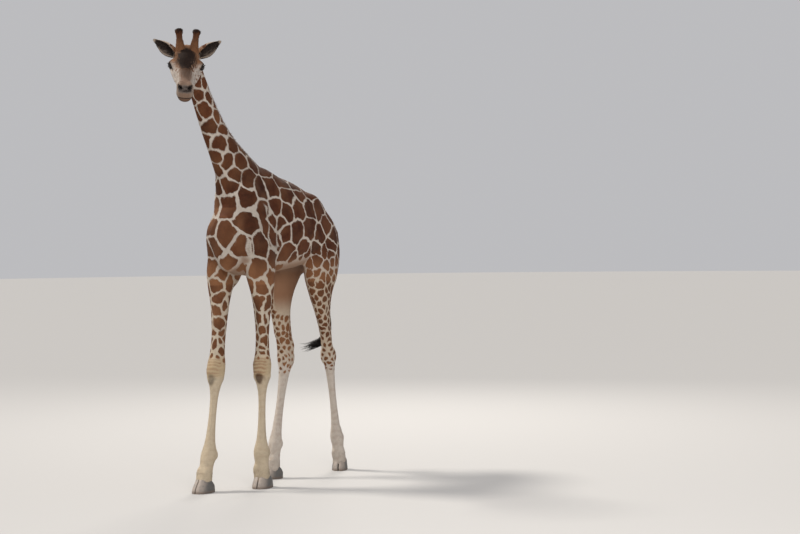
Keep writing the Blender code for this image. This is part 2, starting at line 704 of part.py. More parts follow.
def build():
    """Make every piece and leave only them in the scene."""
    coat = material("coat", (0.36, 0.19, 0.10), 0.85)
    horn = material("hoof_horn", (0.10, 0.095, 0.09), 0.6)
    cornea = material("eye", (0.02, 0.014, 0.01), 0.08)
    dark_hair = material("dark_hair", (0.03, 0.022, 0.02), 0.8)
    mane_hair = material("mane_hair", (0.22, 0.11, 0.06), 0.85)

    whole = melted_flesh(coat)
    body = thinned(whole, "thin_body", BODY_TRIANGLES)
    behind_head = (HEAD_CUT[0] - HEAD_CUT[1] * 0.03, HEAD_CUT[1])
    head_half = part_of(whole, "head_half", coat, [behind_head], EYE_LINE)
    fine_head = thinned(head_half, "fine_head", HEAD_TRIANGLES)
    pieces = part_flesh(body, fine_head, coat)
    for spare in (whole, body, head_half, fine_head):
        bpy.data.objects.remove(spare, do_unlink=True)

    add_hooves(horn)
    eyes = add_eyes(cornea)
    head = pieces["head"]
    eye_cutters = [swollen(eye, GAP) for eye in eyes]
    for cutter in eye_cutters:
        head = cut_with(head, cutter)
        bpy.data.objects.remove(cutter, do_unlink=True)
    head_cutter = swollen(head, GAP)
    for piece in add_horns(coat) + add_ears(coat):
        cut_with(piece, head_cutter)
    bpy.data.objects.remove(head_cutter, do_unlink=True)

    mane = add_mane(mane_hair)
    tail = tube_along("tail", TAIL_ROWS, 10, coat)
    for piece, names in ((mane, ("neck", "trunk", "head")), (tail, ("trunk",))):
        for name in names:
            cutter = swollen(bpy.data.objects[name], GAP)
            piece = cut_with(piece, cutter)
            bpy.data.objects.remove(cutter, do_unlink=True)
    tube_along("tail_tuft", TUFT_ROWS, 10, dark_hair)
    stand_over_origin()


build()
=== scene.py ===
# %% [markdown]
# # A reticulated giraffe, life size
#
# This notebook dresses a still museum model of a young reticulated giraffe. The solids
# come in as a fixed frame that carries the true sizes. Here they get what a visitor
# sees: one seamless skin, a coat of short tufts, the net of pale lines between dark
# patches, a mane, a tail tuft, wet eyes and cloven hooves. We work in metres, with Z
# up. The animal faces -Y and its left side is +X.

import json
import math
from functools import partial

import bmesh
import bpy
import numpy as np
import openvdb
from mathutils import Matrix, Vector
from mathutils.kdtree import KDTree

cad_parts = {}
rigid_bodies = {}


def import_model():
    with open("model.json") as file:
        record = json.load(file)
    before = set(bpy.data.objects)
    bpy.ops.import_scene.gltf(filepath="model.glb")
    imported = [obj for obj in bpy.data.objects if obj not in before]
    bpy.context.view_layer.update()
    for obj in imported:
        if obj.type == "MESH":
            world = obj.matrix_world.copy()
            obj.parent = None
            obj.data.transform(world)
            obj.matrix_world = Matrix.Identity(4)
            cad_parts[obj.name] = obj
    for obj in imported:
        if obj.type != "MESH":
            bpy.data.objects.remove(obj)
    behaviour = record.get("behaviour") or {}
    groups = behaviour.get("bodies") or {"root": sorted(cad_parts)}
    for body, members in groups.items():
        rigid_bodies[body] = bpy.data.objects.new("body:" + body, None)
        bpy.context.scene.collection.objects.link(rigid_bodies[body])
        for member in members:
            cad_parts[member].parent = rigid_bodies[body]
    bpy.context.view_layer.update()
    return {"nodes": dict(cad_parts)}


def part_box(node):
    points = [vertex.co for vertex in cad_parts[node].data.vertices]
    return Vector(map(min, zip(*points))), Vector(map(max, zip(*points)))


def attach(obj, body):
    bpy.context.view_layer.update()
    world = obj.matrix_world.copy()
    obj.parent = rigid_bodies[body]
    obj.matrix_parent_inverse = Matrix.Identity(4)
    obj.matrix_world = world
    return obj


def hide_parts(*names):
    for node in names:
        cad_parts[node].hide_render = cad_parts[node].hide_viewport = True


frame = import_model()
RANDOM = np.random.default_rng(20)
print("the frame holds", len(frame["nodes"]), "solids")

# %% [markdown]
# ## Where the drawing sits
#
# The giraffe was drawn on its own axes and then slid along the floor until the origin
# was under the middle of its box. We keep drawing in the old axes, where the middle of
# the trunk is at x = 0, and slide every finished piece by the same amount. The eyes
# tell us that amount: we know where they were drawn.

# %% The slide from drawing to frame
HEAD_YAW = math.radians(39)
HEAD_PITCH = math.radians(38)
HEAD_TILT = math.radians(-3.4)
EYE_LINE = Vector((0.07, -1.144, 3.372))
EYE_RADIUS = 0.0245
EYE_SPREAD = 0.113
EYE_ALONG = 0.004


def head_frame():
    """The head's own axes: along the face, to the animal's left, and up from the brow."""
    forward = Vector((math.sin(HEAD_YAW) * math.cos(HEAD_PITCH),
                      -math.cos(HEAD_YAW) * math.cos(HEAD_PITCH),
                      -math.sin(HEAD_PITCH)))
    left = Vector((math.cos(HEAD_YAW), math.sin(HEAD_YAW), 0))
    base = Matrix((forward, left, forward.cross(left).normalized())).transposed().to_4x4()
    gaze = Vector((math.sin(HEAD_YAW), -math.cos(HEAD_YAW), 0))
    return Matrix.Translation(EYE_LINE) @ Matrix.Rotation(HEAD_TILT, 4, gaze) @ base


HEAD = head_frame()
HEAD_TURN = np.array(HEAD.to_3x3())


def head_point(along, left, up):
    """A place given in the head's own axes."""
    return HEAD @ Vector((along, left, up))


def head_vector(along, left, up):
    """A direction given in the head's own axes."""
    return (HEAD.to_3x3() @ Vector((along, left, up))).normalized()


def eye_middle(side):
    """The middle of one eyeball; side is 1 for the animal's left and -1 for its right."""
    return head_point(EYE_ALONG, side * EYE_SPREAD, 0)


packed_eyes = sum((sum(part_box(node), Vector()) / 2 for node in ("eye_left", "eye_right")), Vector()) / 2
SLIDE = packed_eyes - (eye_middle(1) + eye_middle(-1)) / 2
SLIDE.z = 0.0
print("slide from drawing to frame:", [round(v, 4) for v in SLIDE])

# %% [markdown]
# ## Camera, floor and light
#
# A visitor stands off the animal's left shoulder with a long lens, the eye a little
# above the belly, so the hooves, knees and face all show at their true sizes.
# A pale floor and three broad lamps keep the room plain: a warm sun from the left
# grazes the legs, one lamp lights the crest of the back, a wide one fills the shade.

# %% Camera
LENS = 80.0
SENSOR = 36.0
CAMERA_TURN = math.radians(32.26)
CAMERA_DROP = math.radians(1.45)
CAMERA_ROLL = -0.011
CAMERA_PLACE = Vector((8.787, -11.898, 2.147)) + SLIDE


def add_object(name, data, matrix=None):
    """Put a mesh, a lamp or a camera into the scene under a name."""
    obj = bpy.data.objects.new(name, data)
    if matrix is not None:
        obj.matrix_world = matrix
    bpy.context.scene.collection.objects.link(obj)
    return obj


def looking(place, direction):
    """Where a camera or lamp stands and which way it looks."""
    turn = Vector(direction).to_track_quat("-Z", "Y").to_matrix().to_4x4()
    return Matrix.Translation(place) @ turn


def add_camera():
    """A long lens looking at the animal's left front."""
    data = bpy.data.cameras.new("camera")
    data.lens = LENS
    data.sensor_width = SENSOR
    forward = Vector((-math.sin(CAMERA_TURN) * math.cos(CAMERA_DROP),
                      math.cos(CAMERA_TURN) * math.cos(CAMERA_DROP),
                      -math.sin(CAMERA_DROP)))
    roll = Matrix.Rotation(CAMERA_ROLL, 4, "Z")
    bpy.context.scene.camera = add_object("camera", data, looking(CAMERA_PLACE, forward) @ roll)


add_camera()
print("the camera stands", round(CAMERA_PLACE.length, 1), "m away")


# %% Floor and lamps
def plain_material(name, colour, roughness):
    mat = bpy.data.materials.new(name)
    mat.use_nodes = True
    shader = mat.node_tree.nodes["Principled BSDF"]
    shader.inputs["Base Color"].default_value = (*colour, 1)
    shader.inputs["Roughness"].default_value = roughness
    return mat


def smooth_object(name, bm, *finishes):
    """Turn a bmesh into a smooth object with its faces turned outwards."""
    bmesh.ops.recalc_face_normals(bm, faces=bm.faces)
    mesh = bpy.data.meshes.new(name)
    bm.to_mesh(mesh)
    bm.free()
    mesh.shade_smooth()
    for finish in finishes:
        mesh.materials.append(finish)
    return add_object(name, mesh)


def add_floor():
    """A wide plain disc, pale enough to throw a little light back up."""
    bm = bmesh.new()
    bmesh.ops.create_circle(bm, cap_ends=True, segments=96, radius=60.0)
    smooth_object("floor", bm, plain_material("pale_floor", (0.5, 0.49, 0.48), 0.9))


def add_lamp(name, kind, power, colour, matrix):
    data = bpy.data.lights.new(name, kind)
    data.energy = power
    data.color = colour
    add_object(name, data, matrix)
    return data


def add_studio():
    """An even sun as from a large far window, and two wide lamps."""
    add_floor()
    key = add_lamp("key", "SUN", 2.7, (1.0, 0.95, 0.87), looking((0, 0, 0), (0.6, 0.22, -0.77)))
    key.angle = math.radians(12)
    for name, place, height, size, power, colour in (
            ("fill", Vector((7.5, -7.0, 5.0)), 1.9, 5.0, 380, (1.0, 0.98, 0.96)),
            ("crest", Vector((-2.5, 6.5, 6.0)), 2.4, 3.0, 300, (1.0, 0.95, 0.88))):
        lamp = add_lamp(name, "AREA", power, colour, looking(place, Vector((0, 0, height)) - place))
        lamp.shape = "DISK"
        lamp.size = size
    world = bpy.data.worlds.new("room")
    world.use_nodes = True
    world.node_tree.nodes["Background"].inputs["Color"].default_value = (0.97, 0.97, 1.0, 1)
    world.node_tree.nodes["Background"].inputs["Strength"].default_value = 0.52
    bpy.context.scene.world = world
    bpy.context.scene.view_settings.view_transform = "Standard"


add_studio()
print("floor, sun and two lamps are in place")

# %% [markdown]
# ## Clay on a computer: a block of distances
#
# A giraffe's skin is one sheet from lip to tail. We model it in a block of small cells
# that each hold the distance to the skin, negative inside. Two forms melt together by
# taking a softened minimum of their distances, as two lumps of clay do, and a form is
# carved away with the sign turned. At the end one mesh is drawn where the distance is
# zero, and every muscle has its own softness.

# %% A block of clay
FAR = 0.2


def smooth_min(a, b, blend):
    """The smaller of two distances, rounded where they are nearly equal."""
    if blend <= 0:
        return np.minimum(a, b)
    h = np.clip(0.5 + 0.5 * (b - a) / blend, 0, 1)
    return b + (a - b) * h - blend * h * (1 - h)


class Clay:
    """A block of cells between two corners, each holding a distance to the skin."""

    def __init__(self, low, high, pitch):
        self.low = np.array(low, float)
        self.pitch = pitch
        counts = np.ceil((np.array(high, float) - self.low) / pitch).astype(int) + 1
        self.cells = np.full(tuple(counts), FAR, np.float32)

    def work(self, sign, form, low, high, blend):
        """Melt a form into the cells within its box, or out of them where sign is -1."""
        counts = np.array(self.cells.shape)
        margin = blend + 2 * self.pitch
        first = np.floor((np.array(low, float) - margin - self.low) / self.pitch).astype(int)
        last = np.ceil((np.array(high, float) + margin - self.low) / self.pitch).astype(int) + 1
        first, last = np.clip(first, 0, counts), np.clip(last, 0, counts)
        if (last > first).all():
            x, y, z = (self.low[k] + self.pitch * np.arange(first[k], last[k]) for k in range(3))
            near = tuple(slice(first[k], last[k]) for k in range(3))
            distance = form(x[:, None, None], y[None, :, None], z[None, None, :])
            self.cells[near] = sign * smooth_min(sign * self.cells[near], distance, blend)

    def add(self, form, low, high, blend=0.0):
        self.work(1, form, low, high, blend)

    def carve(self, form, low, high, blend=0.0):
        self.work(-1, form, low, high, blend)

    def mesh(self):
        """Places and four-sided faces of the skin."""
        grid = openvdb.FloatGrid(FAR)
        grid.copyFromArray(self.cells)
        points, quads = grid.convertToQuads()
        return points * self.pitch + self.low, quads[:, ::-1]


print("clay block ready")


# %% Forms that can be melted in
def smooth_rows(rows, per_span):
    """Rows of numbers, with a smooth curve run through each column."""
    rows = np.array(rows, float)
    before = np.vstack([rows[:1], rows[:-2]])
    after = np.vstack([rows[2:], rows[-1:]])
    here, there = rows[:-1], rows[1:]
    result = []
    for step in range(per_span):
        t = step / per_span
        result.append(0.5 * (2 * here + (there - before) * t
                             + (2 * before - 5 * here + 4 * there - after) * t * t
                             + (3 * here - before - 3 * there + after) * t ** 3))
    return np.vstack([np.stack(result, 1).reshape(-1, rows.shape[1]), rows[-1:]])


def section_distance(across, along, half, ahead, behind, power):
    """Distance to a rounded section: wide along one axis, deep along the other."""
    depth = np.where(along > 0, ahead, behind)
    ratio = ((np.abs(across) / half) ** power + (np.abs(along) / depth) ** power) ** (1 / power)
    reach = np.sqrt(across * across + along * along)
    return reach - (reach + 1e-6) / (ratio + 1e-6 / half)


def egg(centre, radii, turn=None):
    """An ellipsoid as a form, with its own axes, and the box it fits in."""
    centre = np.array(centre, float)
    radii = np.array(radii, float)
    turn = np.eye(3) if turn is None else np.array(turn)

    def form(x, y, z):
        offset = (x - centre[0], y - centre[1], z - centre[2])
        local = [sum(offset[k] * turn[k, i] for k in range(3)) for i in range(3)]
        k0 = np.sqrt(sum((local[i] / radii[i]) ** 2 for i in range(3))) + 1e-6
        k1 = np.sqrt(sum((local[i] / radii[i] ** 2) ** 2 for i in range(3))) + 1e-6
        return k0 * (k0 - 1) / k1

    return form, centre - radii.max(), centre + radii.max()


def cord(start, end, start_radius, end_radius):
    """A round bar between two places, thick or thin at either end, and its box."""
    start, end = np.array(start, float), np.array(end, float)
    step = end - start
    length2 = float(step @ step)

    def form(x, y, z):
        offset = (x - start[0], y - start[1], z - start[2])
        share = np.clip(sum(offset[k] * step[k] for k in range(3)) / length2, 0, 1)
        gap = np.sqrt(sum((offset[k] - share * step[k]) ** 2 for k in range(3)))
        return gap - (start_radius + (end_radius - start_radius) * share)

    reach = max(start_radius, end_radius)
    return form, np.minimum(start, end) - reach, np.maximum(start, end) + reach


print("forms: sections, eggs and cords")

# %% [markdown]
# ## Trunk, neck and legs
#
# The trunk is drawn as upright sections along the body, the neck as sections square
# to its path, each leg as level sections hung on its joints. Each section gives a
# half width and two depths. The tables repeat the driving sizes of the solids, less
# the depth of the coat, so that the hair ends where the solid does.

# %% Trunk
BODY_FRONT = -0.655
BODY_BACK = 0.835
TRUNK_COAT = 0.007
# share of the length, height of the middle, rise to the back, drop to the belly, half width
TRUNK_ROWS = smooth_rows([
    (0.04, 2.04, 0.16, 0.15, 0.11), (0.11, 2.05, 0.33, 0.29, 0.1935), (0.21, 2.06, 0.4, 0.34, 0.21825),
    (0.34, 2.07, 0.53, 0.35, 0.2325), (0.48, 2.07, 0.475, 0.325, 0.25), (0.61, 2.07, 0.424, 0.305, 0.25),
    (0.73, 2.08, 0.335, 0.285, 0.2375), (0.84, 2.08, 0.213, 0.25, 0.215), (0.93, 2.04, 0.136, 0.22, 0.172),
    (0.985, 1.98, 0.085, 0.17, 0.105), (1.0, 1.95, 0.03, 0.08, 0.04),
], 8)


def trunk_form(x, y, z):
    share = (y - BODY_FRONT) / (BODY_BACK - BODY_FRONT)
    middle, up, down, half = (np.interp(share, TRUNK_ROWS[:, 0], TRUNK_ROWS[:, k]) for k in range(1, 5))
    body = section_distance(x, z - middle, half, up, down, 2.15)
    ends = np.maximum(BODY_FRONT + 0.04 - y, y - BODY_BACK)
    return np.maximum(body, ends) + TRUNK_COAT


# %% Neck
NECK_COAT = 0.006
# x, y, z of the middle, half width, depth at the throat side, depth at the mane side
NECK_PATH = smooth_rows([
    (0.0, -0.18, 2.18, 0.17, 0.3, 0.335), (0.0, -0.34, 2.37, 0.15, 0.245, 0.318),
    (0.0, -0.49, 2.56, 0.122, 0.165, 0.222), (0.0, -0.62, 2.74, 0.098, 0.132, 0.148),
    (0.0, -0.735, 2.92, 0.084, 0.122, 0.103), (0.0, -0.84, 3.09, 0.076, 0.1, 0.086),
    (0.003, -0.925, 3.235, 0.071, 0.086, 0.074), (0.015, -0.99, 3.355, 0.068, 0.08, 0.06),
], 8)


def reach_along(path):
    """How far along a path each of its points lies."""
    return np.concatenate([[0], np.cumsum(np.linalg.norm(np.diff(path[:, :3], axis=0), axis=1))])


NECK_REACH = reach_along(NECK_PATH)
NECK_LENGTH = NECK_REACH[-1]


def neck_at(distance):
    """The row of the neck at a distance along its path, and the path's direction there."""
    row = [np.interp(distance, NECK_REACH, NECK_PATH[:, k]) for k in range(6)]
    dy, dz = (np.interp(distance + 0.02, NECK_REACH, NECK_PATH[:, k])
              - np.interp(distance - 0.02, NECK_REACH, NECK_PATH[:, k]) for k in (1, 2))
    size = np.sqrt(dy * dy + dz * dz) + 1e-9
    return row, dy / size, dz / size


def along_neck(y, z):
    """How far up the neck a place lies, its row there, how near the throat, and how far past the ends."""
    distance = np.clip((y + 0.18) * -0.56 + (z - 2.18) * 0.83, 0, NECK_LENGTH)
    rest = 0
    for _ in range(6):
        distance = np.clip(distance + rest, 0, NECK_LENGTH)
        row, ty, tz = neck_at(distance)
        rest = (y - row[1]) * ty + (z - row[2]) * tz
    throat = (z - row[2]) * ty - (y - row[1]) * tz
    beyond = np.where((distance <= 0) | (distance >= NECK_LENGTH), np.abs(rest), -FAR)
    return distance, row, throat, beyond


def neck_form(x, y, z):
    _, row, throat, beyond = along_neck(y, z)
    return np.maximum(section_distance(x - row[0], throat, row[3], row[4], row[5], 2.1), beyond) + NECK_COAT


# %% Legs
KNEE = 0.915
HOCK = 1.0
FETLOCK = 0.3
HOOF_TOP = 0.108
LEG_COAT = 0.004
LEGS = [("fore", "left"), ("fore", "right"), ("hind", "left"), ("hind", "right")]
LEG_JOINTS = {
    ("fore", "left"): [(0.13, -0.318, 0.1), (0.13, -0.325, FETLOCK), (0.132, -0.3, KNEE),
                       (0.15, -0.315, 1.62), (0.15, -0.36, 2.0)],
    ("fore", "right"): [(-0.13, -0.745, 0.1), (-0.13, -0.682, FETLOCK), (-0.136, -0.566, KNEE),
                        (-0.16, -0.462, 1.62), (-0.16, -0.43, 2.0)],
    ("hind", "left"): [(0.1, 0.842, 0.1), (0.1, 0.806, FETLOCK), (0.104, 0.69, HOCK),
                       (0.15, 0.5, 1.62), (0.125, 0.56, 2.0)],
    ("hind", "right"): [(-0.1, 0.15, 0.1), (-0.1, 0.176, FETLOCK), (-0.102, 0.345, HOCK),
                        (-0.15, 0.34, 1.62), (-0.125, 0.52, 2.0)],
}
# bone counted from the foot, share of its length, half width, depth in front and behind
LEG_ROWS = {
    "fore": [
        (0, 0.0, 0.066, 0.066, 0.058), (0, 0.5, 0.056, 0.055, 0.054), (0, 0.97, 0.064, 0.058, 0.067),
        (1, 0.17, 0.041, 0.041, 0.048), (1, 0.42, 0.031, 0.031, 0.037), (1, 0.7, 0.032, 0.033, 0.038),
        (1, 0.86, 0.045, 0.047, 0.05), (1, 0.98, 0.067, 0.074, 0.066), (2, 0.13, 0.072, 0.082, 0.072),
        (2, 0.28, 0.059, 0.062, 0.068), (2, 0.5, 0.056, 0.056, 0.07), (2, 0.8, 0.073, 0.078, 0.09),
        (3, 0.05, 0.092, 0.122, 0.12), (3, 0.45, 0.094, 0.15, 0.155), (3, 1.0, 0.072, 0.125, 0.14),
    ],
    "hind": [
        (0, 0.0, 0.058, 0.058, 0.052), (0, 0.5, 0.05, 0.05, 0.05), (0, 0.97, 0.058, 0.052, 0.058),
        (1, 0.17, 0.039, 0.039, 0.045), (1, 0.48, 0.031, 0.033, 0.04), (1, 0.8, 0.04, 0.045, 0.056),
        (1, 0.98, 0.056, 0.072, 0.09), (2, 0.18, 0.052, 0.076, 0.078), (2, 0.42, 0.055, 0.09, 0.064),
        (2, 0.66, 0.068, 0.112, 0.084), (2, 0.9, 0.088, 0.145, 0.15), (3, 0.25, 0.1, 0.185, 0.23),
        (3, 0.7, 0.105, 0.205, 0.245), (3, 1.15, 0.085, 0.185, 0.215),
    ],
}
FOOT_TURN = dict(zip(LEGS, (math.radians(12), 0.0, math.radians(25), math.radians(-15))))
TURN_ENDS = 1.66


def leg_table(end, side):
    """Place, height, half width and depths of one leg."""
    joints = [Vector(joint) for joint in LEG_JOINTS[end, side]]
    return smooth_rows([(*joints[bone].lerp(joints[bone + 1], share), *sizes)
                        for bone, share, *sizes in LEG_ROWS[end]], 8)


LEG_TABLES = {leg: leg_table(*leg) for leg in LEGS}


def leg_at(leg, z):
    """Everything about a leg at a height, with the turn of its foot."""
    x, y, half, ahead, behind = (np.interp(z, LEG_TABLES[leg][:, 2], LEG_TABLES[leg][:, k])
                                 for k in (0, 1, 3, 4, 5))
    angle = FOOT_TURN[leg] * np.clip((TURN_ENDS - z) / 0.4, 0, 1)
    return x, y, half, ahead, behind, np.cos(angle), np.sin(angle)


def leg_form(leg):
    table = LEG_TABLES[leg]
    top, bottom = table[-1, 2], table[0, 2] - 0.046

    def form(x, y, z):
        cx, cy, half, ahead, behind, c, s = leg_at(leg, z)
        across = (x - cx) * c + (y - cy) * s
        along = (x - cx) * s - (y - cy) * c
        depth = np.interp(z, [0.1, 1.0, 1.7], [LEG_COAT * 0.6, LEG_COAT, TRUNK_COAT])
        body = section_distance(across, along, half - depth, ahead - depth, behind - depth, 2.2)
        return np.maximum(body, np.maximum(bottom - z, z - top))

    reach = 0.26
    low = (table[:, 0].min() - reach, table[:, 1].min() - reach, bottom)
    high = (table[:, 0].max() + reach, table[:, 1].max() + reach, top)
    return form, low, high


def leg_place(leg, z, across, along):
    """A place on or in a leg: at a height, to its outer side and to its front."""
    cx, cy, _, _, _, c, s = leg_at(leg, z)
    return np.array((cx + across * c + along * s, cy + across * s - along * c, z))


print("neck length", round(float(NECK_LENGTH), 2), "m")

# %% [markdown]
# ## Muscles, bones and tendons
#
# A loft alone looks like a balloon. What makes it an animal lies just under the hide:
# the blade of the shoulder, the muscle over the elbow, the points of the hip, the
# hollow of the flank, the knobs of the wrists and the two cords of each shin. Each is
# a small egg or cord with its own softness.

# %% Body forms
BODY_PITCH = 0.0084


def egg_at(middle, radii, tilt=0.0):
    """An egg, tilted about the animal's side-to-side axis."""
    return egg(middle, radii, Matrix.Rotation(tilt, 3, "X"))


def add_muscles(clay):
    """The forms under the hide of the trunk and neck, the same on both sides."""
    for s in (-1, 1):
        clay.add(*egg_at((s * 0.122, -0.33, 2.16), (0.088, 0.165, 0.335), 0.42), 0.05)
        clay.add(*egg_at((s * 0.147, -0.492, 2.03), (0.082, 0.122, 0.18)), 0.06)
        clay.add(*egg_at((s * 0.154, -0.335, 1.82), (0.08, 0.135, 0.2), -0.15), 0.05)
        clay.add(*cord((s * 0.075, -0.235, 2.5), (s * 0.17, -0.475, 2.08), 0.04, 0.046), 0.05)
        clay.add(*egg_at((s * 0.1, 0.44, 2.24), (0.092, 0.17, 0.145), -0.3), 0.05)
        clay.add(*egg_at((s * 0.118, 0.6, 1.98), (0.093, 0.17, 0.265), 0.2), 0.05)
        clay.add(*egg_at((s * 0.15, 0.395, 2.33), (0.035, 0.06, 0.035)), 0.06)
        clay.add(*egg_at((s * 0.06, 0.785, 2.13), (0.035, 0.04, 0.05)), 0.05)
        clay.carve(*egg_at((s * 0.3, 0.3, 2.17), (0.062, 0.12, 0.15)), 0.05)
        clay.carve(*egg_at((s * 0.305, -0.13, 1.93), (0.07, 0.085, 0.26), 0.25), 0.06)
        clay.add(*cord((s * 0.075, -0.46, 2.14), (s * 0.05, -0.53, 2.46), 0.085, 0.06), 0.07)
    clay.add(*egg_at((0, -0.53, 2.05), (0.15, 0.118, 0.22)), 0.06)
    clay.add(*egg_at((0, -0.555, 1.9), (0.1, 0.08, 0.14)), 0.06)


def add_fore_details(clay, side):
    """Wrist, callus, shin cords, fetlock and pastern of one foreleg."""
    at = partial(leg_place, ("fore", side))
    clay.add(*egg(at(KNEE + 0.045, 0, 0.04), (0.052, 0.04, 0.06)), 0.02)
    clay.add(*egg(at(KNEE - 0.03, 0, 0.047), (0.032, 0.024, 0.034)), 0.015)
    clay.add(*egg(at(KNEE + 0.065, 0, -0.058), (0.024, 0.022, 0.036)), 0.02)
    for s in (-1, 1):
        clay.add(*egg(at(KNEE + 0.085, s * 0.045, 0.006), (0.022, 0.034, 0.034)), 0.02)
        clay.add(*egg(at(KNEE - 0.01, s * 0.042, 0.006), (0.02, 0.032, 0.026)), 0.02)
        clay.carve(*cord(at(0.4, s * 0.047, -0.016), at(0.78, s * 0.051, -0.014), 0.01, 0.01), 0.012)
        clay.add(*egg(at(FETLOCK - 0.01, s * 0.034, -0.038), (0.024, 0.024, 0.034)), 0.02)
        clay.add(*egg(at(0.15, s * 0.034, 0.018), (0.028, 0.032, 0.048)), 0.02)
    clay.carve(*cord(at(0.12, 0, 0.08), at(0.185, 0, 0.066), 0.01, 0.006), 0.012)
    clay.add(*cord(at(KNEE + 0.2, 0.018, 0.04), at(1.52, 0.03, 0.062), 0.016, 0.03), 0.03)
    clay.add(*cord(at(KNEE + 0.15, 0, -0.05), at(1.45, 0, -0.07), 0.014, 0.026), 0.03)


def add_hind_details(clay, side):
    """Hock with its point, the tendon above it, shin cords, fetlock and pastern."""
    at = partial(leg_place, ("hind", side))
    clay.add(*egg(at(HOCK + 0.095, 0, -0.066), (0.024, 0.028, 0.05)), 0.025)
    clay.add(*cord(at(HOCK + 0.1, 0, -0.07), at(1.38, 0, -0.055), 0.014, 0.022), 0.03)
    for s in (-1, 1):
        clay.add(*egg(at(HOCK + 0.005, s * 0.034, 0.01), (0.024, 0.044, 0.06)), 0.025)
        clay.carve(*egg(at(HOCK + 0.165, s * 0.066, -0.046), (0.02, 0.022, 0.075)), 0.03)
        clay.carve(*cord(at(0.4, s * 0.045, -0.014), at(0.82, s * 0.049, -0.014), 0.01, 0.01), 0.012)
        clay.add(*egg(at(FETLOCK - 0.01, s * 0.03, -0.032), (0.022, 0.022, 0.032)), 0.02)
        clay.add(*egg(at(0.15, s * 0.029, 0.016), (0.025, 0.028, 0.046)), 0.02)
    clay.carve(*cord(at(0.12, 0, 0.07), at(0.18, 0, 0.058), 0.009, 0.006), 0.012)
    clay.add(*cord(at(1.22, 0, 0.058), at(1.5, 0, 0.08), 0.02, 0.036), 0.04)


# x, y, z, radius
TAIL_ROWS = smooth_rows([
    (0.0, 0.75, 2.17, 0.036), (0.0, 0.806, 2.09, 0.035), (0.0, 0.848, 1.96, 0.028),
    (0.0, 0.866, 1.8, 0.021), (0.0, 0.866, 1.62, 0.017), (0.0, 0.858, 1.48, 0.015),
    (0.0, 0.852, 1.405, 0.015),
], 3)


def body_clay():
    """The whole animal but the head, in one block."""
    clay = Clay((-0.34, -0.92, 0.06), (0.34, 1.0, 3.4), BODY_PITCH)
    clay.add(trunk_form, (-0.26, BODY_FRONT, 1.7), (0.26, BODY_BACK, 2.66))
    clay.add(neck_form, (-0.18, -1.12, 1.9), (0.18, 0.16, 3.42), 0.06)
    for leg in LEGS:
        clay.add(*leg_form(leg), 0.035)
    add_muscles(clay)
    for side in ("left", "right"):
        add_fore_details(clay, side)
        add_hind_details(clay, side)
    for above, below in zip(TAIL_ROWS, TAIL_ROWS[1:]):
        clay.add(*cord(above[:3], below[:3], above[3] - 0.002, below[3] - 0.002), 0.006)
    return clay

# %% [markdown]
# ## The head
#
# The head is modelled in a finer block. A giraffe's skull is broad between the eyes
# and runs to a narrow, soft muzzle with a long upper lip. The eyes bulge at the sides
# under heavy lids, the nostrils are slits, and the ears are thin cups on rolled
# stalks.

# %% Skull and muzzle
HEAD_PITCH_CELLS = 0.0028
HEAD_COAT = 0.003
# along the face, top line, bottom line, half width
HEAD_ROWS = smooth_rows([
    (-0.205, 0.02, -0.06, 0.04), (-0.19, 0.045, -0.09, 0.062), (-0.15, 0.068, -0.118, 0.08),
    (-0.1, 0.08, -0.138, 0.094), (-0.04, 0.084, -0.145, 0.106), (0.02, 0.078, -0.134, 0.111),
    (0.075, 0.06, -0.118, 0.104), (0.135, 0.044, -0.106, 0.09), (0.2, 0.034, -0.1, 0.073),
    (0.255, 0.03, -0.098, 0.063), (0.3, 0.026, -0.1, 0.067), (0.335, 0.008, -0.101, 0.06),
    (0.358, -0.026, -0.094, 0.043), (0.366, -0.048, -0.082, 0.02),
], 8)


def head_axes(x, y, z):
    """Places in the head's own axes: along the face, to the left, up."""
    offset = (x - EYE_LINE.x, y - EYE_LINE.y, z - EYE_LINE.z)
    return [sum(offset[k] * HEAD_TURN[k, i] for k in range(3)) for i in range(3)]


def rise(value, start, end):
    """0 below the start, 1 above the end, smooth between."""
    t = np.clip((value - start) / (end - start), 0, 1)
    return t * t * (3 - 2 * t)


def fall(value, start, end):
    """1 below the start, 0 above the end, smooth between."""
    return 1 - rise(value, start, end)


def skull_distance(along, left, up):
    """Distance to the skull's loft; the bridge of the nose is narrower than the jaw."""
    top, bottom, half = (np.interp(along, HEAD_ROWS[:, 0], HEAD_ROWS[:, k]) for k in (1, 2, 3))
    middle, reach = (top + bottom) / 2, (top - bottom) / 2
    pinch = 0.3 * rise(along, 0.03, 0.14) * fall(along, 0.24, 0.3)
    half = half * (1 - pinch * rise((up - middle) / reach, -0.3, 0.9))
    body = section_distance(left, up - middle, half, reach, reach, 2.25)
    ends = np.maximum(HEAD_ROWS[0, 0] - along, along - HEAD_ROWS[-1, 0])
    return np.maximum(body, ends)


def skull_form(x, y, z):
    return skull_distance(*head_axes(x, y, z)) + HEAD_COAT


def head_egg(along, left, up, radii):
    return egg(head_point(along, left, up), radii, HEAD_TURN)


def head_cord(start, end, start_radius, end_radius):
    return cord(head_point(*start), head_point(*end), start_radius, end_radius)


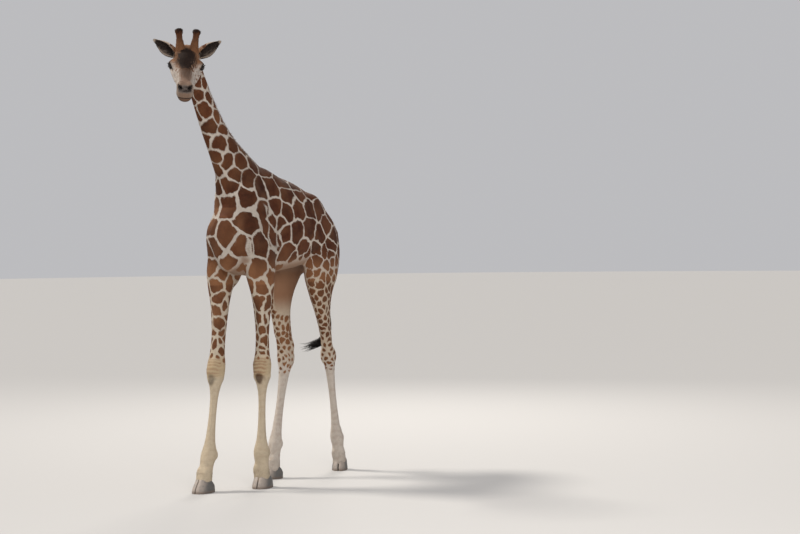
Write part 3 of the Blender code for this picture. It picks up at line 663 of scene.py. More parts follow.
def add_skull_forms(clay):
    """Brow, cheeks, jaw, nose and lips."""
    clay.add(*head_egg(0.008, 0, 0.054, (0.066, 0.05, 0.036)), 0.03)
    clay.add(*head_egg(0.322, 0, -0.082, (0.04, 0.046, 0.025)), 0.014)
    clay.add(*head_egg(-0.085, 0, 0.078, (0.058, 0.074, 0.04)), 0.03)
    clay.add(*head_egg(-0.028, 0, 0.066, (0.072, 0.07, 0.046)), 0.035)
    clay.add(*head_egg(0.328, 0, -0.044, (0.035, 0.057, 0.03)), 0.02)
    for s in (-1, 1):
        clay.add(*head_egg(-0.05, s * 0.068, -0.07, (0.07, 0.031, 0.056)), 0.03)
        clay.add(*head_egg(0.286, s * 0.036, 0.004, (0.04, 0.027, 0.027)), 0.02)
        clay.add(*head_egg(-0.055, s * 0.05, 0.074, (0.038, 0.032, 0.03)), 0.03)
        clay.add(*head_egg(-0.112, s * 0.08, 0.026, (0.034, 0.03, 0.036)), 0.025)
        clay.add(*head_egg(0.0, s * 0.094, 0.008, (0.05, 0.036, 0.036)), 0.025)
        clay.add(*head_cord((0.02, s * 0.104, -0.034), (0.125, s * 0.074, -0.052), 0.015, 0.01), 0.025)
        clay.add(*head_cord((-0.105, s * 0.06, -0.108), (0.215, s * 0.034, -0.086), 0.024, 0.014), 0.03)
        clay.carve(*head_egg(-0.072, s * 0.122, 0.026, (0.034, 0.018, 0.026)), 0.03)
        clay.carve(*head_egg(0.072, s * 0.116, -0.006, (0.034, 0.012, 0.014)), 0.025)
        clay.carve(*head_egg(0.175, s * 0.088, -0.03, (0.06, 0.014, 0.02)), 0.03)
        clay.carve(*head_egg(-0.085, s * 0.085, -0.15, (0.05, 0.03, 0.022)), 0.03)


def mouth_height(along):
    """Height of the line between the lips, which rises a little to its corner."""
    return np.interp(along, [0.22, 0.27, 0.33, 0.37], [-0.066, -0.064, -0.062, -0.058])


def carve_mouth(clay):
    """The line of the closed mouth, a shallow groove from corner to corner."""
    def form(x, y, z):
        along, left, up = head_axes(x, y, z)
        groove = np.abs(up - mouth_height(along)) - 0.0017
        shallow = -0.01 - skull_distance(along, left, up)
        return np.maximum(np.maximum(groove, 0.226 - along), shallow)

    corners = np.array([head_point(a, l, u) for a in (0.22, 0.38) for l in (-0.07, 0.07)
                        for u in (-0.08, -0.045)])
    clay.carve(form, corners.min(0), corners.max(0), 0.004)


def carve_nostrils(clay):
    for s in (-1, 1):
        clay.carve(*head_cord((0.336, s * 0.02, 0.0), (0.302, s * 0.049, 0.014), 0.006, 0.0095), 0.006)
        clay.carve(*head_cord((0.324, s * 0.031, 0.004), (0.284, s * 0.034, -0.006), 0.0095, 0.007), 0.004)


# %% [markdown]
# ## Eyelids
#
# The eyeball never changes. The lids are a thin shell round it, made as one: a
# slightly larger ball is melted into the brow, an almond is cut through it along the
# line of sight, and the eyeball's own room is cut out.

# %% Lids
LID = 0.0048
LID_FOLD = 0.0385  # from the eye's middle
EYE_ROOM = 0.0003
ALMOND_LONG = 0.024
ALMOND_HIGH = 0.017


def eye_axes(side):
    """Line of sight of one eye, and the long and the short way of its opening."""
    sight = head_vector(0.6, side * 0.8, 0.02)
    across = head_vector(0.8, -side * 0.6, -0.16)
    across = (across - sight * across.dot(sight)).normalized()
    return sight, across, sight.cross(across).normalized() * (1 if side < 0 else -1)


def almond(across, high):
    """Distance to a lens-shaped outline, drawn by two arcs that meet in the corners."""
    arc = (ALMOND_LONG ** 2 + ALMOND_HIGH ** 2) / (2 * ALMOND_HIGH)
    shift = arc - ALMOND_HIGH
    return np.maximum(np.hypot(across, high + shift), np.hypot(across, high - shift)) - arc


def eye_opening(side):
    middle = np.array(eye_middle(side))
    axes = eye_axes(side)

    def form(x, y, z):
        offset = (x - middle[0], y - middle[1], z - middle[2])
        out, wide, tall = (sum(offset[k] * axis[k] for k in range(3)) for axis in axes)
        return np.maximum(almond(wide, tall), 0.006 - out)

    return form, middle - 0.04, middle + 0.04


def on_lid(side, wide, tall, radius):
    """A place on a ball round one eye, across the lids and up from its middle."""
    sight, across, high = eye_axes(side)
    out = math.sqrt(max(radius ** 2 - wide ** 2 - tall ** 2, 0))
    return eye_middle(side) + across * wide + high * tall + sight * out


def add_lids(clay):
    """The shell of the lids, the fold over it, the opening and the eyeball's room."""
    arc = [(-0.03, 0.01), (-0.018, 0.0235), (0.0, 0.029), (0.017, 0.0245), (0.03, 0.01)]
    for side in (-1, 1):
        middle = eye_middle(side)
        folds = [on_lid(side, wide, tall, LID_FOLD) for wide, tall in arc]
        clay.add(*egg(middle, np.full(3, EYE_RADIUS + LID)), 0.01)
        for start, end in zip(folds, folds[1:]):
            clay.carve(*cord(start, end, 0.0035, 0.0035), 0.006)
        clay.carve(*eye_opening(side), 0.003)
        clay.carve(*egg(middle, np.full(3, EYE_RADIUS + EYE_ROOM)))


# %% Ears
EAR_FOOT = (-0.115, 0.078, 0.024)
EAR_TIP = {"left": (-0.152, 0.258, 0.142), "right": (-0.152, 0.26, 0.12)}
EAR_WIDTH = 0.094
EAR_THICKNESS = 0.0052
EAR_SPANS = 40
EAR_POINTS = 33


def ear_axes(word):
    """Foot, tip, side and opening of one ear."""
    side = 1 if word == "left" else -1
    foot, tip = (head_point(along, side * left, up) for along, left, up in (EAR_FOOT, EAR_TIP[word]))
    axis = (tip - foot).normalized()
    opening = head_vector(0.9, side * 0.1, 0.1)
    across = axis.cross(opening).normalized()
    return foot, tip, across, across.cross(axis).normalized()


def ear_ring(word, t, depth):
    """Points across the leaf of an ear, a given depth in from its back."""
    foot, tip, across, opening = ear_axes(word)
    swell = 0.42 + 0.58 * math.sin(math.pi * min(1, t * 1.05 + 0.08))
    width = EAR_WIDTH * 0.5 * swell * (1 - t ** 7) ** 0.5 + 0.004
    roll = 2.5 - 1.35 * t
    radius = width / math.sin(roll) if roll < math.pi / 2 else width
    centre = foot.lerp(tip, t) + opening * (radius * 0.35)
    ways = [across * math.sin(angle) - opening * math.cos(angle)
            for angle in (roll * (2 * j / (EAR_POINTS - 1) - 1) for j in range(EAR_POINTS))]
    return [centre + way * max(radius - depth, 0.0008) for way in ways]


def ring_faces(rows, count):
    """Four-sided faces between rings of points stacked one above another."""
    return [(i + j, i + (j + 1) % count, i + count + (j + 1) % count, i + count + j)
            for i in range(0, (rows - 1) * count, count) for j in range(count)]


def ear_mesh(word):
    """One ear as a closed shell: its back, its inside, and the rim between."""
    points = []
    for span in range(EAR_SPANS + 1):
        t = 0.985 * span / EAR_SPANS
        points += ear_ring(word, t, 0.0008) + ear_ring(word, t, EAR_THICKNESS + 0.0002)[::-1]
    count = 2 * EAR_POINTS
    quads = ring_faces(EAR_SPANS + 1, count)
    for first in (0, EAR_SPANS * count):
        quads += [(first + j, first + j + 1, first + count - 2 - j, first + count - 1 - j)
                  for j in range(EAR_POINTS - 1)]
    return np.array([tuple(point) for point in points]), np.array(quads)


def add_ears(clay):
    """Melt the ears in: their meshes are turned into distances first."""
    for word in ("left", "right"):
        points, quads = ear_mesh(word)
        cells = ((points - clay.low) / clay.pitch).astype(np.float32)
        grid = openvdb.FloatGrid.createLevelSetFromPolygons(cells, quads=quads.astype(np.uint32),
                                                            halfWidth=4.0)
        first = np.maximum(np.floor(cells.min(0)).astype(int) - 5, 0)
        last = np.minimum(np.ceil(cells.max(0)).astype(int) + 6, clay.cells.shape)
        distances = np.zeros(tuple(last - first), np.float32)
        grid.copyToArray(distances, ijk=tuple(int(v) for v in first))
        block = clay.cells[first[0]:last[0], first[1]:last[1], first[2]:last[2]]
        near = distances < 3.9
        block[near] = smooth_min(block, distances * clay.pitch, 0.007)[near]


# %% The head's block
CUT_DISTANCE = 1.16  # along the neck, where the fine head meets the body
CUT_GAP = 0.002
cut_row, cut_y, cut_z = neck_at(CUT_DISTANCE)
CUT_PLACE = Vector((0, float(cut_row[1]), float(cut_row[2])))
CUT_NORMAL = Vector((0, float(cut_y), float(cut_z)))


def head_clay():
    """Head, ears and the top of the neck, in a finer block."""
    boxes = np.array([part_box(node) for node in ("head", "ear_left", "ear_right", "eye_left", "eye_right")])
    low = boxes[:, 0].min(0) - np.array(SLIDE) - 0.02
    high = boxes[:, 1].max(0) - np.array(SLIDE) + 0.02
    low[0] = min(low[0], -0.11)
    high[1] = CUT_PLACE.y + 0.13
    low[2] = CUT_PLACE.z - 0.12
    clay = Clay(low, high, HEAD_PITCH_CELLS)
    clay.add(skull_form, low, high)
    add_skull_forms(clay)
    clay.add(neck_form, low, high, 0.045)
    nape_row, nape_y, nape_z = neck_at(CUT_DISTANCE + 0.1)
    nape = (0, nape_row[1] + nape_z * 0.034, nape_row[2] - nape_y * 0.034)
    clay.add(*cord(nape, head_point(-0.135, 0, 0.012), 0.04, 0.052), 0.05)
    add_lids(clay)
    carve_mouth(clay)
    carve_nostrils(clay)
    add_ears(clay)
    return clay


# %% [markdown]
# ## One skin
#
# Both blocks are turned into meshes. They agree exactly along the neck, because the
# same form fills both, so each is cut on one plane and the two rims are zipped
# together.

# %% From blocks to one skin
def bmesh_from(points, faces):
    mesh = bpy.data.meshes.new("shell")
    mesh.from_pydata(points, [], faces)
    bm = bmesh.new()
    bm.from_mesh(mesh)
    bpy.data.meshes.remove(mesh)
    return bm


def halved(points, faces, keep_above):
    """Cut a shell near the plane across the neck and keep one side of it."""
    bm = bmesh_from(points.tolist(), faces.tolist())
    place = CUT_PLACE + CUT_NORMAL * (CUT_GAP if keep_above else -CUT_GAP)
    bmesh.ops.bisect_plane(bm, geom=bm.verts[:] + bm.edges[:] + bm.faces[:], plane_co=place,
                           plane_no=CUT_NORMAL, clear_inner=keep_above, clear_outer=not keep_above)
    return bm


def one_sheet(bm):
    """Drop loose crumbs: keep what hangs together with the rim of the cut."""
    kept = {vert for edge in bm.edges if edge.is_boundary for vert in edge.verts}
    edge_of_sheet = list(kept)
    while edge_of_sheet:
        vert = edge_of_sheet.pop()
        for edge in vert.link_edges:
            other = edge.other_vert(vert)
            if other not in kept:
                kept.add(other)
                edge_of_sheet.append(other)
    bmesh.ops.delete(bm, geom=[vert for vert in bm.verts if vert not in kept], context="VERTS")


def one_skin():
    """The whole hide as one mesh, in drawing coordinates."""
    body = halved(*body_clay().mesh(), False)
    head = halved(*head_clay().mesh(), True)
    one_sheet(body)
    one_sheet(head)
    mesh = bpy.data.meshes.new("head")
    head.to_mesh(mesh)
    head.free()
    body.from_mesh(mesh)
    bpy.data.meshes.remove(mesh)
    bmesh.ops.bridge_loops(body, edges=[edge for edge in body.edges if edge.is_boundary])
    bmesh.ops.triangulate(body, faces=[face for face in body.faces if len(face.verts) > 4])
    open_edges = sum(not edge.is_manifold for edge in body.edges)
    skin = smooth_object("skin", body)
    print("skin:", len(skin.data.vertices), "points,", len(skin.data.polygons), "faces,",
          open_edges, "open edges")
    return skin


skin = one_skin()

# %% [markdown]
# ## Where on the animal is each point?
#
# The markings, the lie of the coat and the length of the hair all depend on the place
# on the body. So we ask each point of the skin a few plain questions: how far up the
# neck it is, where it lies on the head, which leg it belongs to. Most answers are soft,
# from 0 to 1, so that nothing starts at a hard line.

# %% Questions for every point
def mesh_arrays(obj):
    """Places and outward directions of a mesh's points."""
    places, normals = np.empty((2, len(obj.data.vertices) * 3), np.float32)
    obj.data.vertices.foreach_get("co", places)
    obj.data.vertex_normals.foreach_get("vector", normals)
    return places.reshape(-1, 3).astype(float), normals.reshape(-1, 3).astype(float)


class Body:
    """Answers about a set of points: head axes, neck axes, legs and their soft shares."""

    def __init__(self, places):
        x, y, z = places.T
        self.x, self.y, self.z = x, y, z
        self.along, self.left, self.up = head_axes(x, y, z)
        self.skull = skull_distance(self.along, self.left, self.up)
        near_root = 0.35 * np.maximum(0.03 - self.up, 0) + 0.8 * np.maximum(self.up - 0.045, 0)
        self.ear = rise(self.skull, 0.006, 0.02) * (self.along < -0.03) * (self.up > -0.02)
        self.ear *= rise(np.abs(self.left) - 0.075 - near_root, 0.0, 0.012)
        crown = rise(self.up, 0.02, 0.06) * rise(self.along, -0.19, -0.13)
        face = rise(self.up, -0.09, -0.05) * rise(self.along, -0.1, -0.06)
        self.head = fall(self.skull - 0.045 * np.maximum(crown, face), 0.014, 0.045)
        self.head *= (1 - self.ear) * (z > 3.0)
        self.neck_distance, row, throat, _ = along_neck(y, z)
        self.neck_angle = np.degrees(np.arctan2(x - row[0], throat))
        self.neck = rise(self.neck_distance, 0.3, 0.62) * (1 - self.head) * (1 - self.ear) * (z > 2.2)
        near_tail = np.min([np.linalg.norm(places - row[:3], axis=1) for row in TAIL_ROWS[6:]], 0)
        self.tail = (near_tail < 0.055) & (y > 0.835) & (np.abs(x) < 0.05)
        distances = []
        for leg in LEGS:
            form, _, high = leg_form(leg)
            own_side = (x > 0) == (leg[1] == "left")
            distances.append(np.where((z < high[2]) & own_side, np.abs(form(x, y, z)), 9.0))
        self.which_leg = np.argmin(distances, 0)
        self.leg = fall(z, 1.62, 1.86) * (~self.tail)
        self.hind = (self.which_leg >= 2) * 1.0


skin_places, skin_normals = mesh_arrays(skin)
skin_body = Body(skin_places)
print("points on the head:", int((skin_body.head > 0.5).sum()),
      " on the ears:", int((skin_body.ear > 0.5).sum()),
      " on the legs:", int((skin_body.leg > 0.5).sum()))


# %% A soft random value
def unit(vectors):
    return vectors / (np.linalg.norm(vectors, axis=-1, keepdims=True) + 1e-9)


def ripple(places, size, seed):
    """A smooth random value, about -1 to 1, that changes over the given size."""
    rng = np.random.default_rng(seed)
    ways = unit(rng.normal(size=(9, 3))) * (2 * math.pi / size * rng.uniform(0.7, 1.4, 9))[:, None]
    return np.sin(places @ ways.T + rng.uniform(0, 2 * math.pi, 9)).sum(1) / 3


print("ripples swing by about", round(float(np.std(ripple(skin_places[::50], 0.1, 1))), 2))

# %% [markdown]
# ## The net of pale lines
#
# The patches of a reticulated giraffe tile its hide, with pale lines between. Each
# patch grows from one spot, and the lines run where two patches meet. Each point of
# the skin belongs to its nearest spot, and its distance to the line is its distance to
# the plane half way to the next spot. The spots of the side that visitors see are
# listed one by one, the rest are thrown at random, never too close.

# %% Spots listed one by one
# along the rows of the neck's table, and degrees round it from the throat to the left
NECK_SPOTS = [
    (6.3, 52), (5.7, 32), (4.95, 38), (4.35, 42), (3.5, 45), (2.7, 45), (1.95, 22),
    (6.4, -12), (5.6, -18), (4.8, -26), (3.7, -6), (3.05, 2), (2.6, -8), (1.3, 5),
    (6.1, 112), (5.35, 100), (4.5, 107), (3.8, 106), (3.1, 116), (2.4, 100),
    (5.6, 152), (4.9, 150), (4.15, 152), (3.4, 156), (2.6, 160), (1.95, 143), (1.25, 153),
    (6.2, -70), (5.3, -78), (4.4, -72), (3.6, -68), (2.9, -70), (2.15, -62), (1.45, -70),
    (5.8, -128), (5.0, -132), (4.3, -126), (3.5, -132), (2.9, -124), (2.2, -120), (1.5, -128),
]
SIDE_SPOTS = [
    (0.17, -0.5, 2.36), (0.16, -0.33, 2.42), (0.18, -0.19, 2.43), (0.2, -0.02, 2.38),
    (0.15, -0.01, 2.49), (0.13, 0.2, 2.47), (0.19, 0.19, 2.38), (0.21, -0.19, 2.29),
    (0.23, -0.07, 2.25), (0.23, 0.1, 2.27), (0.22, 0.28, 2.28), (0.22, -0.26, 2.16),
    (0.23, -0.16, 2.15), (0.24, -0.09, 2.07), (0.25, 0.04, 2.08), (0.25, 0.24, 2.11),
    (0.18, -0.55, 2.16), (0.16, -0.59, 1.97), (0.22, -0.43, 1.98), (0.22, -0.26, 1.85),
    (0.21, -0.05, 1.9), (0.22, 0.17, 1.92), (0.23, 0.41, 2.04), (0.21, 0.42, 2.27),
    (0.23, 0.51, 2.13), (0.21, 0.62, 2.04), (0.14, 0.12, 1.78), (0.14, 0.36, 2.4),
    (0.12, 0.56, 2.31), (0.16, 0.62, 2.2), (0.1, 0.72, 2.16), (0.15, 0.72, 2.05),
]
LONG_SPOTS = [((0.21, -0.36, 2.25), (0.23, -0.29, 2.12), (0.23, -0.21, 2.0))]
FRONT_SPOTS = [
    (0.04, -0.65, 2.05), (-0.14, -0.6, 2.13), (-0.13, -0.56, 2.3), (-0.1, -0.62, 1.96),
    (0.08, -0.52, 1.8), (0.19, -0.45, 1.77), (0.24, -0.3, 1.71), (0.21, -0.4, 1.63),
    (0.02, -0.55, 1.84), (-0.16, -0.57, 1.8), (-0.09, -0.53, 1.75), (-0.13, -0.56, 1.65),
    (-0.11, -0.55, 1.55), (-0.12, -0.55, 1.46), (-0.08, -0.45, 1.65), (-0.11, -0.55, 1.34),
    (0.18, -0.38, 1.51), (0.22, -0.32, 1.51), (0.16, -0.37, 1.37), (0.2, -0.34, 1.37),
    (0.21, 0.37, 1.92), (0.23, 0.48, 1.9), (0.23, 0.57, 1.95), (0.21, 0.39, 1.82),
    (0.24, 0.49, 1.79), (0.17, 0.34, 1.8), (0.22, 0.39, 1.72),
]


def neck_spot(row_number, degrees):
    """A place near the neck's hide."""
    row, ty, tz = neck_at(np.interp(row_number * 8, np.arange(len(NECK_PATH)), NECK_REACH))
    c, s = math.cos(math.radians(degrees)), math.sin(math.radians(degrees))
    throat = c * (row[4] if c > 0 else row[5])
    return (row[0] + s * row[3], row[1] - throat * tz, row[2] + throat * ty)


def mirrored_spot(place, number):
    """The other flank's spot: like this one, but shifted, as no giraffe is the same on both."""
    x, y, z = place
    return (-x, y + 0.045 * math.sin(2.4 * number), z + 0.04 * math.cos(1.7 * number))


hand_spots = [neck_spot(*spot) for spot in NECK_SPOTS] + SIDE_SPOTS + FRONT_SPOTS
hand_spots += [mirrored_spot(spot, i) for i, spot in enumerate(SIDE_SPOTS)]
hand_patch = list(range(len(hand_spots)))
for run in LONG_SPOTS:
    for side in (0, 1):
        hand_patch += [max(hand_patch) + 1] * len(run)
        hand_spots += [mirrored_spot(place, 3) if side else place for place in run]
print(len(hand_spots), "spots placed by hand")


# %% Spots thrown at random
def leg_share(body):
    """How far a place takes the leg's markings rather than the trunk's."""
    return np.where(body.hind > 0.5, fall(body.z, 1.86, 2.02), body.leg)


def spot_spacing(body):
    """How far apart the patches' middles are: wide on the trunk, small down the legs."""
    trunk = 0.15 - 0.03 * rise(body.y, 0.35, 0.75)
    fore = np.interp(body.z, [0.95, 1.2, 1.5, 1.75], [0.034, 0.055, 0.088, 0.12])
    hind = np.interp(body.z, [0.72, 1.0, 1.2, 1.5, 1.85, 2.0], [0.029, 0.034, 0.038, 0.047, 0.068, 0.098])
    legs = np.where(body.hind > 0.5, hind, fore)
    return np.where(body.neck > 0.5, 0.1, trunk + (legs - trunk) * leg_share(body))


def throw_spots(places, body, placed):
    """Try points of the skin in a random order and keep those far enough from all others."""
    allowed = (body.head < 0.4) & (body.ear < 0.4) & (~body.tail) & (body.z > 0.94 - 0.24 * body.hind)
    picks = RANDOM.permutation(np.nonzero(allowed)[0])[:16000]
    spacing = spot_spacing(body)
    kept = np.array(placed)
    for i in picks:
        if np.sqrt(((kept - places[i]) ** 2).sum(1).min()) > spacing[i]:
            kept = np.vstack([kept, places[i]])
    return kept


near_skin = KDTree(len(skin_places) // 3 + 1)
for k, place in enumerate(skin_places[::3]):
    near_skin.insert(place, k)
near_skin.balance()
hand_spots = [tuple(near_skin.find(spot)[0]) for spot in hand_spots]
spots = throw_spots(skin_places, skin_body, hand_spots)
spot_patch = np.concatenate([hand_patch, max(hand_patch) + 1 + np.arange(len(spots) - len(hand_spots))])
print(len(spots), "spots in all")


# %% Distance from each point to its patch's edge
EDGE_SOFTNESS = 0.006


def patch_edges(places):
    """Number of each point's patch, and how far inside its edge the point lies."""
    warped = places + np.stack([0.01 * ripple(places, 0.16, 11 + k) + 0.004 * ripple(places, 0.05, 21 + k)
                                for k in range(3)], 1)
    edge, patch = np.empty(len(places)), np.empty(len(places), int)
    size = (spots ** 2).sum(1)
    for start in range(0, len(places), 20000):
        block = warped[start:start + 20000]
        squares = (block ** 2).sum(1)[:, None] + size - 2 * block @ spots.T
        near = np.argpartition(squares, 6, axis=1)[:, :6]
        gaps = np.take_along_axis(squares, near, 1)
        order = np.argsort(gaps, 1)
        near, gaps = np.take_along_axis(near, order, 1), np.take_along_axis(gaps, order, 1)
        own = near[:, 0]
        total = np.zeros(len(block))
        for k in range(1, 6):
            apart = np.linalg.norm(spots[near[:, k]] - spots[own], axis=1) + 1e-6
            plane = (gaps[:, k] - gaps[:, 0]) / (2 * apart)
            other = spot_patch[near[:, k]] != spot_patch[own]
            total += np.where(other, np.exp(-plane / EDGE_SOFTNESS), 0)
        edge[start:start + 20000] = -EDGE_SOFTNESS * np.log(total + 1e-9)
        patch[start:start + 20000] = spot_patch[own]
    return np.minimum(edge, 0.05), patch


skin_edge, skin_patch = patch_edges(skin_places)
print("patches:", len(np.unique(skin_patch)), " widest reach", round(float(skin_edge.max()), 3), "m")

# %% [markdown]
# ## Colour as a few soft layers
#
# The coat's colour is not stored. Each point only says how far inside a patch it is,
# how faded that patch is, and how much rust, soot, cream or bare hide lies over it.
# The soot layer holds dark markings and also painted shade: in the ear cups, above the
# eyes and along the mouth.
# The finish mixes these with real hair colours later, so skin, tufts, mane and horns
# all wear the same markings.

# %% Width of the pale lines
def oval(a, b, a_middle, b_middle, a_reach, b_reach):
    """1 in the middle of an oval, falling softly to 0 outside it."""
    far = ((a - a_middle) / a_reach) ** 2 + ((b - b_middle) / b_reach) ** 2
    return fall(far, 0.35, 1.35)


def band(value, start, end, soft):
    return rise(value, start - soft, start + soft) * fall(value, end - soft, end + soft)


def line_half_width(body):
    """Half the width of the pale lines: broad on the shoulder, thin over the back."""
    trunk = np.interp(body.y, [-0.55, -0.15, 0.3, 0.75], [0.0115, 0.0085, 0.0063, 0.0056])
    trunk = trunk * (1 - 0.35 * rise(body.z, 2.32, 2.5))
    fore = np.interp(body.z, [0.95, 1.1, 1.4, 1.7], [0.007, 0.008, 0.0095, 0.011])
    hind = np.interp(body.z, [0.78, 1.0, 1.2, 1.6, 1.9], [0.0085, 0.006, 0.0046, 0.0046, 0.0052])
    legs = np.where(body.hind > 0.5, hind, fore)
    width = trunk + (legs - trunk) * leg_share(body)
    width = width + (0.0066 - width) * rise(body.neck, 0.3, 0.7) * (body.neck > 0)
    return width + 0.009 * oval(body.y, body.z, -0.52, 2.25, 0.16, 0.055)


# %% Masks of the body
def body_layers(places, normals, body, edge, patch):
    """Patch, fade, tone and tints over the trunk, neck and legs."""
    x, y, z, leg = body.x, body.y, body.z, body.leg
    inner = rise(np.clip(-normals[:, 0] * np.sign(x), 0, 1), 0.3, 0.62)
    under = rise(-normals[:, 2], 0.45, 0.85) * (z < 1.9)
    ahead = np.clip(-normals[:, 1], 0, 1)
    fore, hind = 1 - body.hind, body.hind
    thigh = inner * hind * band(z, 1.45, 1.8, 0.1) * (leg > 0.2)
    shown = 1 - leg * fore * fall(z, 0.92, 1.02)
    shown *= 1 - leg * hind * fall(z, 0.7, 0.9)
    shown *= (1 - thigh) * (1 - 0.35 * under) * (1 - body.tail * fall(z, 1.55, 1.7))
    width = line_half_width(body) * (1 + 0.28 * ripple(places, 0.22, 5))
    inside = edge - width - 0.08 * (1 - shown)
    rng = np.random.default_rng(4)
    tones = rng.uniform(-1, 1, int(patch.max()) + 1)[patch]
    shoulder = oval(y, z, -0.38, 2.05, 0.34, 0.36) * (body.neck < 0.3)
    crack = 0.024 * np.abs(ripple(places, 0.17, 51)) - 0.0032
    crack += 0.02 * (tones < 0.15) + 0.05 * (1 - shoulder)
    inside = np.minimum(inside, np.maximum(crack, -0.0014))
    knee = band(z, KNEE + 0.005, KNEE + 0.15, 0.03) * fore * leg
    stripes = 0.5 + 0.5 * np.sin(z * 2 * math.pi / 0.027 + 1.6 * ripple(places, 0.09, 9))
    inside = inside - 0.012 * knee * rise(ahead, 0.2, 0.7)
    tones = tones - 1.1 * oval(y, z, -0.42, 2.4, 0.24, 0.22) * (x > 0.03)
    front = rise(ahead, 0.55, 0.95) * (z < 2.28) * (z > 1.65)
    fade = 0.05 + 0.1 * body.neck + 0.26 * front * (y < -0.3)
    fade += 0.45 * oval(x, z, -0.17, 2.25, 0.12, 0.16) * (y < -0.35)
    fade += 0.34 * leg * fore * band(z, 1.0, 1.72, 0.1) + 0.12 * leg * hind
    fade += 0.5 * inner * hind * leg
    fade += 0.25 * hind * leg * fall(z, 0.95, 1.15)
    fade += 0.5 * fall(z, 1.76, 1.92) * (leg < 0.95) * (~body.tail)
    fade += 0.55 * knee + 0.14 * np.abs(ripple(places, 0.3, 6))
    flank_leg = leg * hind * band(z, 1.0, 1.9, 0.12)
    cream = 0.08 + 0.34 * leg * fore + 0.12 * leg * hind + 0.3 * flank_leg
    cream += 0.3 * fore * fall(z, 0.95, 1.25) + 0.35 * knee
    cream = cream * (1 - 0.6 * hind * (z < 0.95))
    callus = oval(z, normals[:, 0], KNEE - 0.02, np.where(x > 0, 0.22, 0.08), 0.046, 0.62)
    callus *= fore * (ahead > 0.2)
    soot = callus * np.where(x > 0, 0.66, 0.5)
    soot += 0.95 * body.tail * fall(z, 1.42, 1.52) + 0.12 * shoulder
    rust = 0.6 * under * (z > 1.5) + 0.25 * body.tail + 0.8 * thigh + 0.16 * flank_leg
    rust += knee * (0.14 + np.where(x > 0, 0.66, 0.46) * stripes * rise(ahead, 0.0, 0.6))
    rust += callus * (x > 0) * 0.55 + 0.16 * fall(z, 1.72, 1.95) * (1 - leg)
    shin = rise(ripple(places * (1, 1, 2.2), 0.06, 61), 0.1, 0.9) * (z < KNEE) * leg
    rust += (0.1 * fore + 0.16 * hind) * shin
    return dict(inside=inside, tone=tones, fade=fade, cream=cream, soot=soot, rust=rust, bare=0.16 * thigh)


# %% Masks of the head
def eye_gap(places, side):
    """Distance from the edge of one eye's opening, and the places across and up its lids."""
    out, across, high = ((places - np.array(eye_middle(side))) @ np.array(axis) for axis in eye_axes(side))
    return np.where(out > 0, almond(across, high), 1.0), across, high


def paint_head(places, body, layers):
    """The face: dark brow, rusty crown, brown nose, pale cheeks, grey nostrils and brown chin, with painted
    shade above the eyes and along the mouth line.
    """
    a, l, u = body.along, body.left, body.up
    wide = np.abs(l)
    top = rise(u, -0.005, 0.04)
    fine = ripple(places, 0.03, 31)
    rough = ripple(places, 0.075, 32)
    grain = 0.006 * ripple(places, 0.016, 33)
    blotch = oval(a + 2 * grain, l + 2 * grain, 0.018, 0.0, 0.088, 0.084) * rise(u, 0.0, 0.035)
    soot = 0.9 * blotch + 0.34 * oval(a, l + grain, 0.115, 0.0, 0.12, 0.05) * top
    nose = rise(a, 0.272, 0.292) * band(u + 0.3 * grain, -0.018, 0.02, 0.008)
    nose *= fall(wide, 0.044, 0.058)
    soot += (0.74 + 0.12 * fine) * nose
    for side in (-1, 1):
        nostril = np.linalg.norm([a - 0.312, l - side * 0.036, u - 0.006], axis=0)
        soot += 0.9 * fall(nostril, 0.012, 0.023)
        gap, across, high = eye_gap(places, side)
        soot += 1.0 * fall(gap, 0.0055, 0.0125)
        # Painted shade: the lid above each eye is darkened out to 3 cm, as under the overhang of the brow.
        soot += 0.45 * fall(gap, 0.008, 0.03) * (high > 0)
        soot += 0.6 * oval(across, high, 0.03, -0.006, 0.016, 0.006) * (gap < 0.04)
    # A dark line along the mouth: partly the bare skin of the lips, partly painted shade in the groove
    # between them.
    lips = (a > 0.222) * fall(np.abs(u - mouth_height(a)), 0.0015, 0.0045)
    bridge = band(a, 0.075, 0.29, 0.025) * rise(u, -0.02, 0.02)
    bridge *= fall(wide + 2 * grain, 0.036, 0.062)
    chin = rise(a, 0.19, 0.23) * fall(u - mouth_height(a), -0.01, 0.004)
    lip = rise(a, 0.265, 0.315) * (1 - nose) * (1 - chin)
    soot += 0.75 * lips + 0.26 * bridge + 0.62 * chin + 0.12 * (1 - chin) + 0.32 * lip
    rust = 0.94 * band(a, -0.19, 0.01, 0.035) * rise(u, -0.005, 0.04)
    rust += 0.78 * oval(a, l, 0.0, 0.0, 0.125, 0.125) * rise(u, 0.004, 0.044)
    rust += 0.78 * bridge + 0.9 * chin + 0.72 * lip * (1 - 0.5 * rise(wide, 0.03, 0.06))
    veins = 0.12 * rise(rough, 0.2, 0.9) + 0.28 * fall(np.abs(rough), 0.0, 0.2)
    rust += veins * fall(a, 0.17, 0.24)
    bare = 0.1 + 0.34 * nose + 0.12 * bridge + 0.1 * lip + 0.1 * chin + 0.4 * lips
    spots_here = 0.005 * (fine - 0.95) - 0.01 * rise(a, 0.15, 0.22)
    crown = 0.004 * (fine + 0.5) - 0.05 * fall(-a, 0.16, 0.2)
    inside = np.where(a < -0.16, np.maximum(spots_here, crown), spots_here)
    cream = 0.2 * rise(-a, 0.0, 0.15) + 0.25 * lip
    own = dict(inside=inside, tone=0.3 * fine, fade=0.62, cream=cream, soot=soot, rust=rust, bare=bare)
    hard = rise(body.head, 0.35, 0.65)
    for name in layers:
        weight = hard if name in ("inside", "fade", "tone") else body.head
        layers[name] = layers[name] * (1 - weight) + own[name] * weight


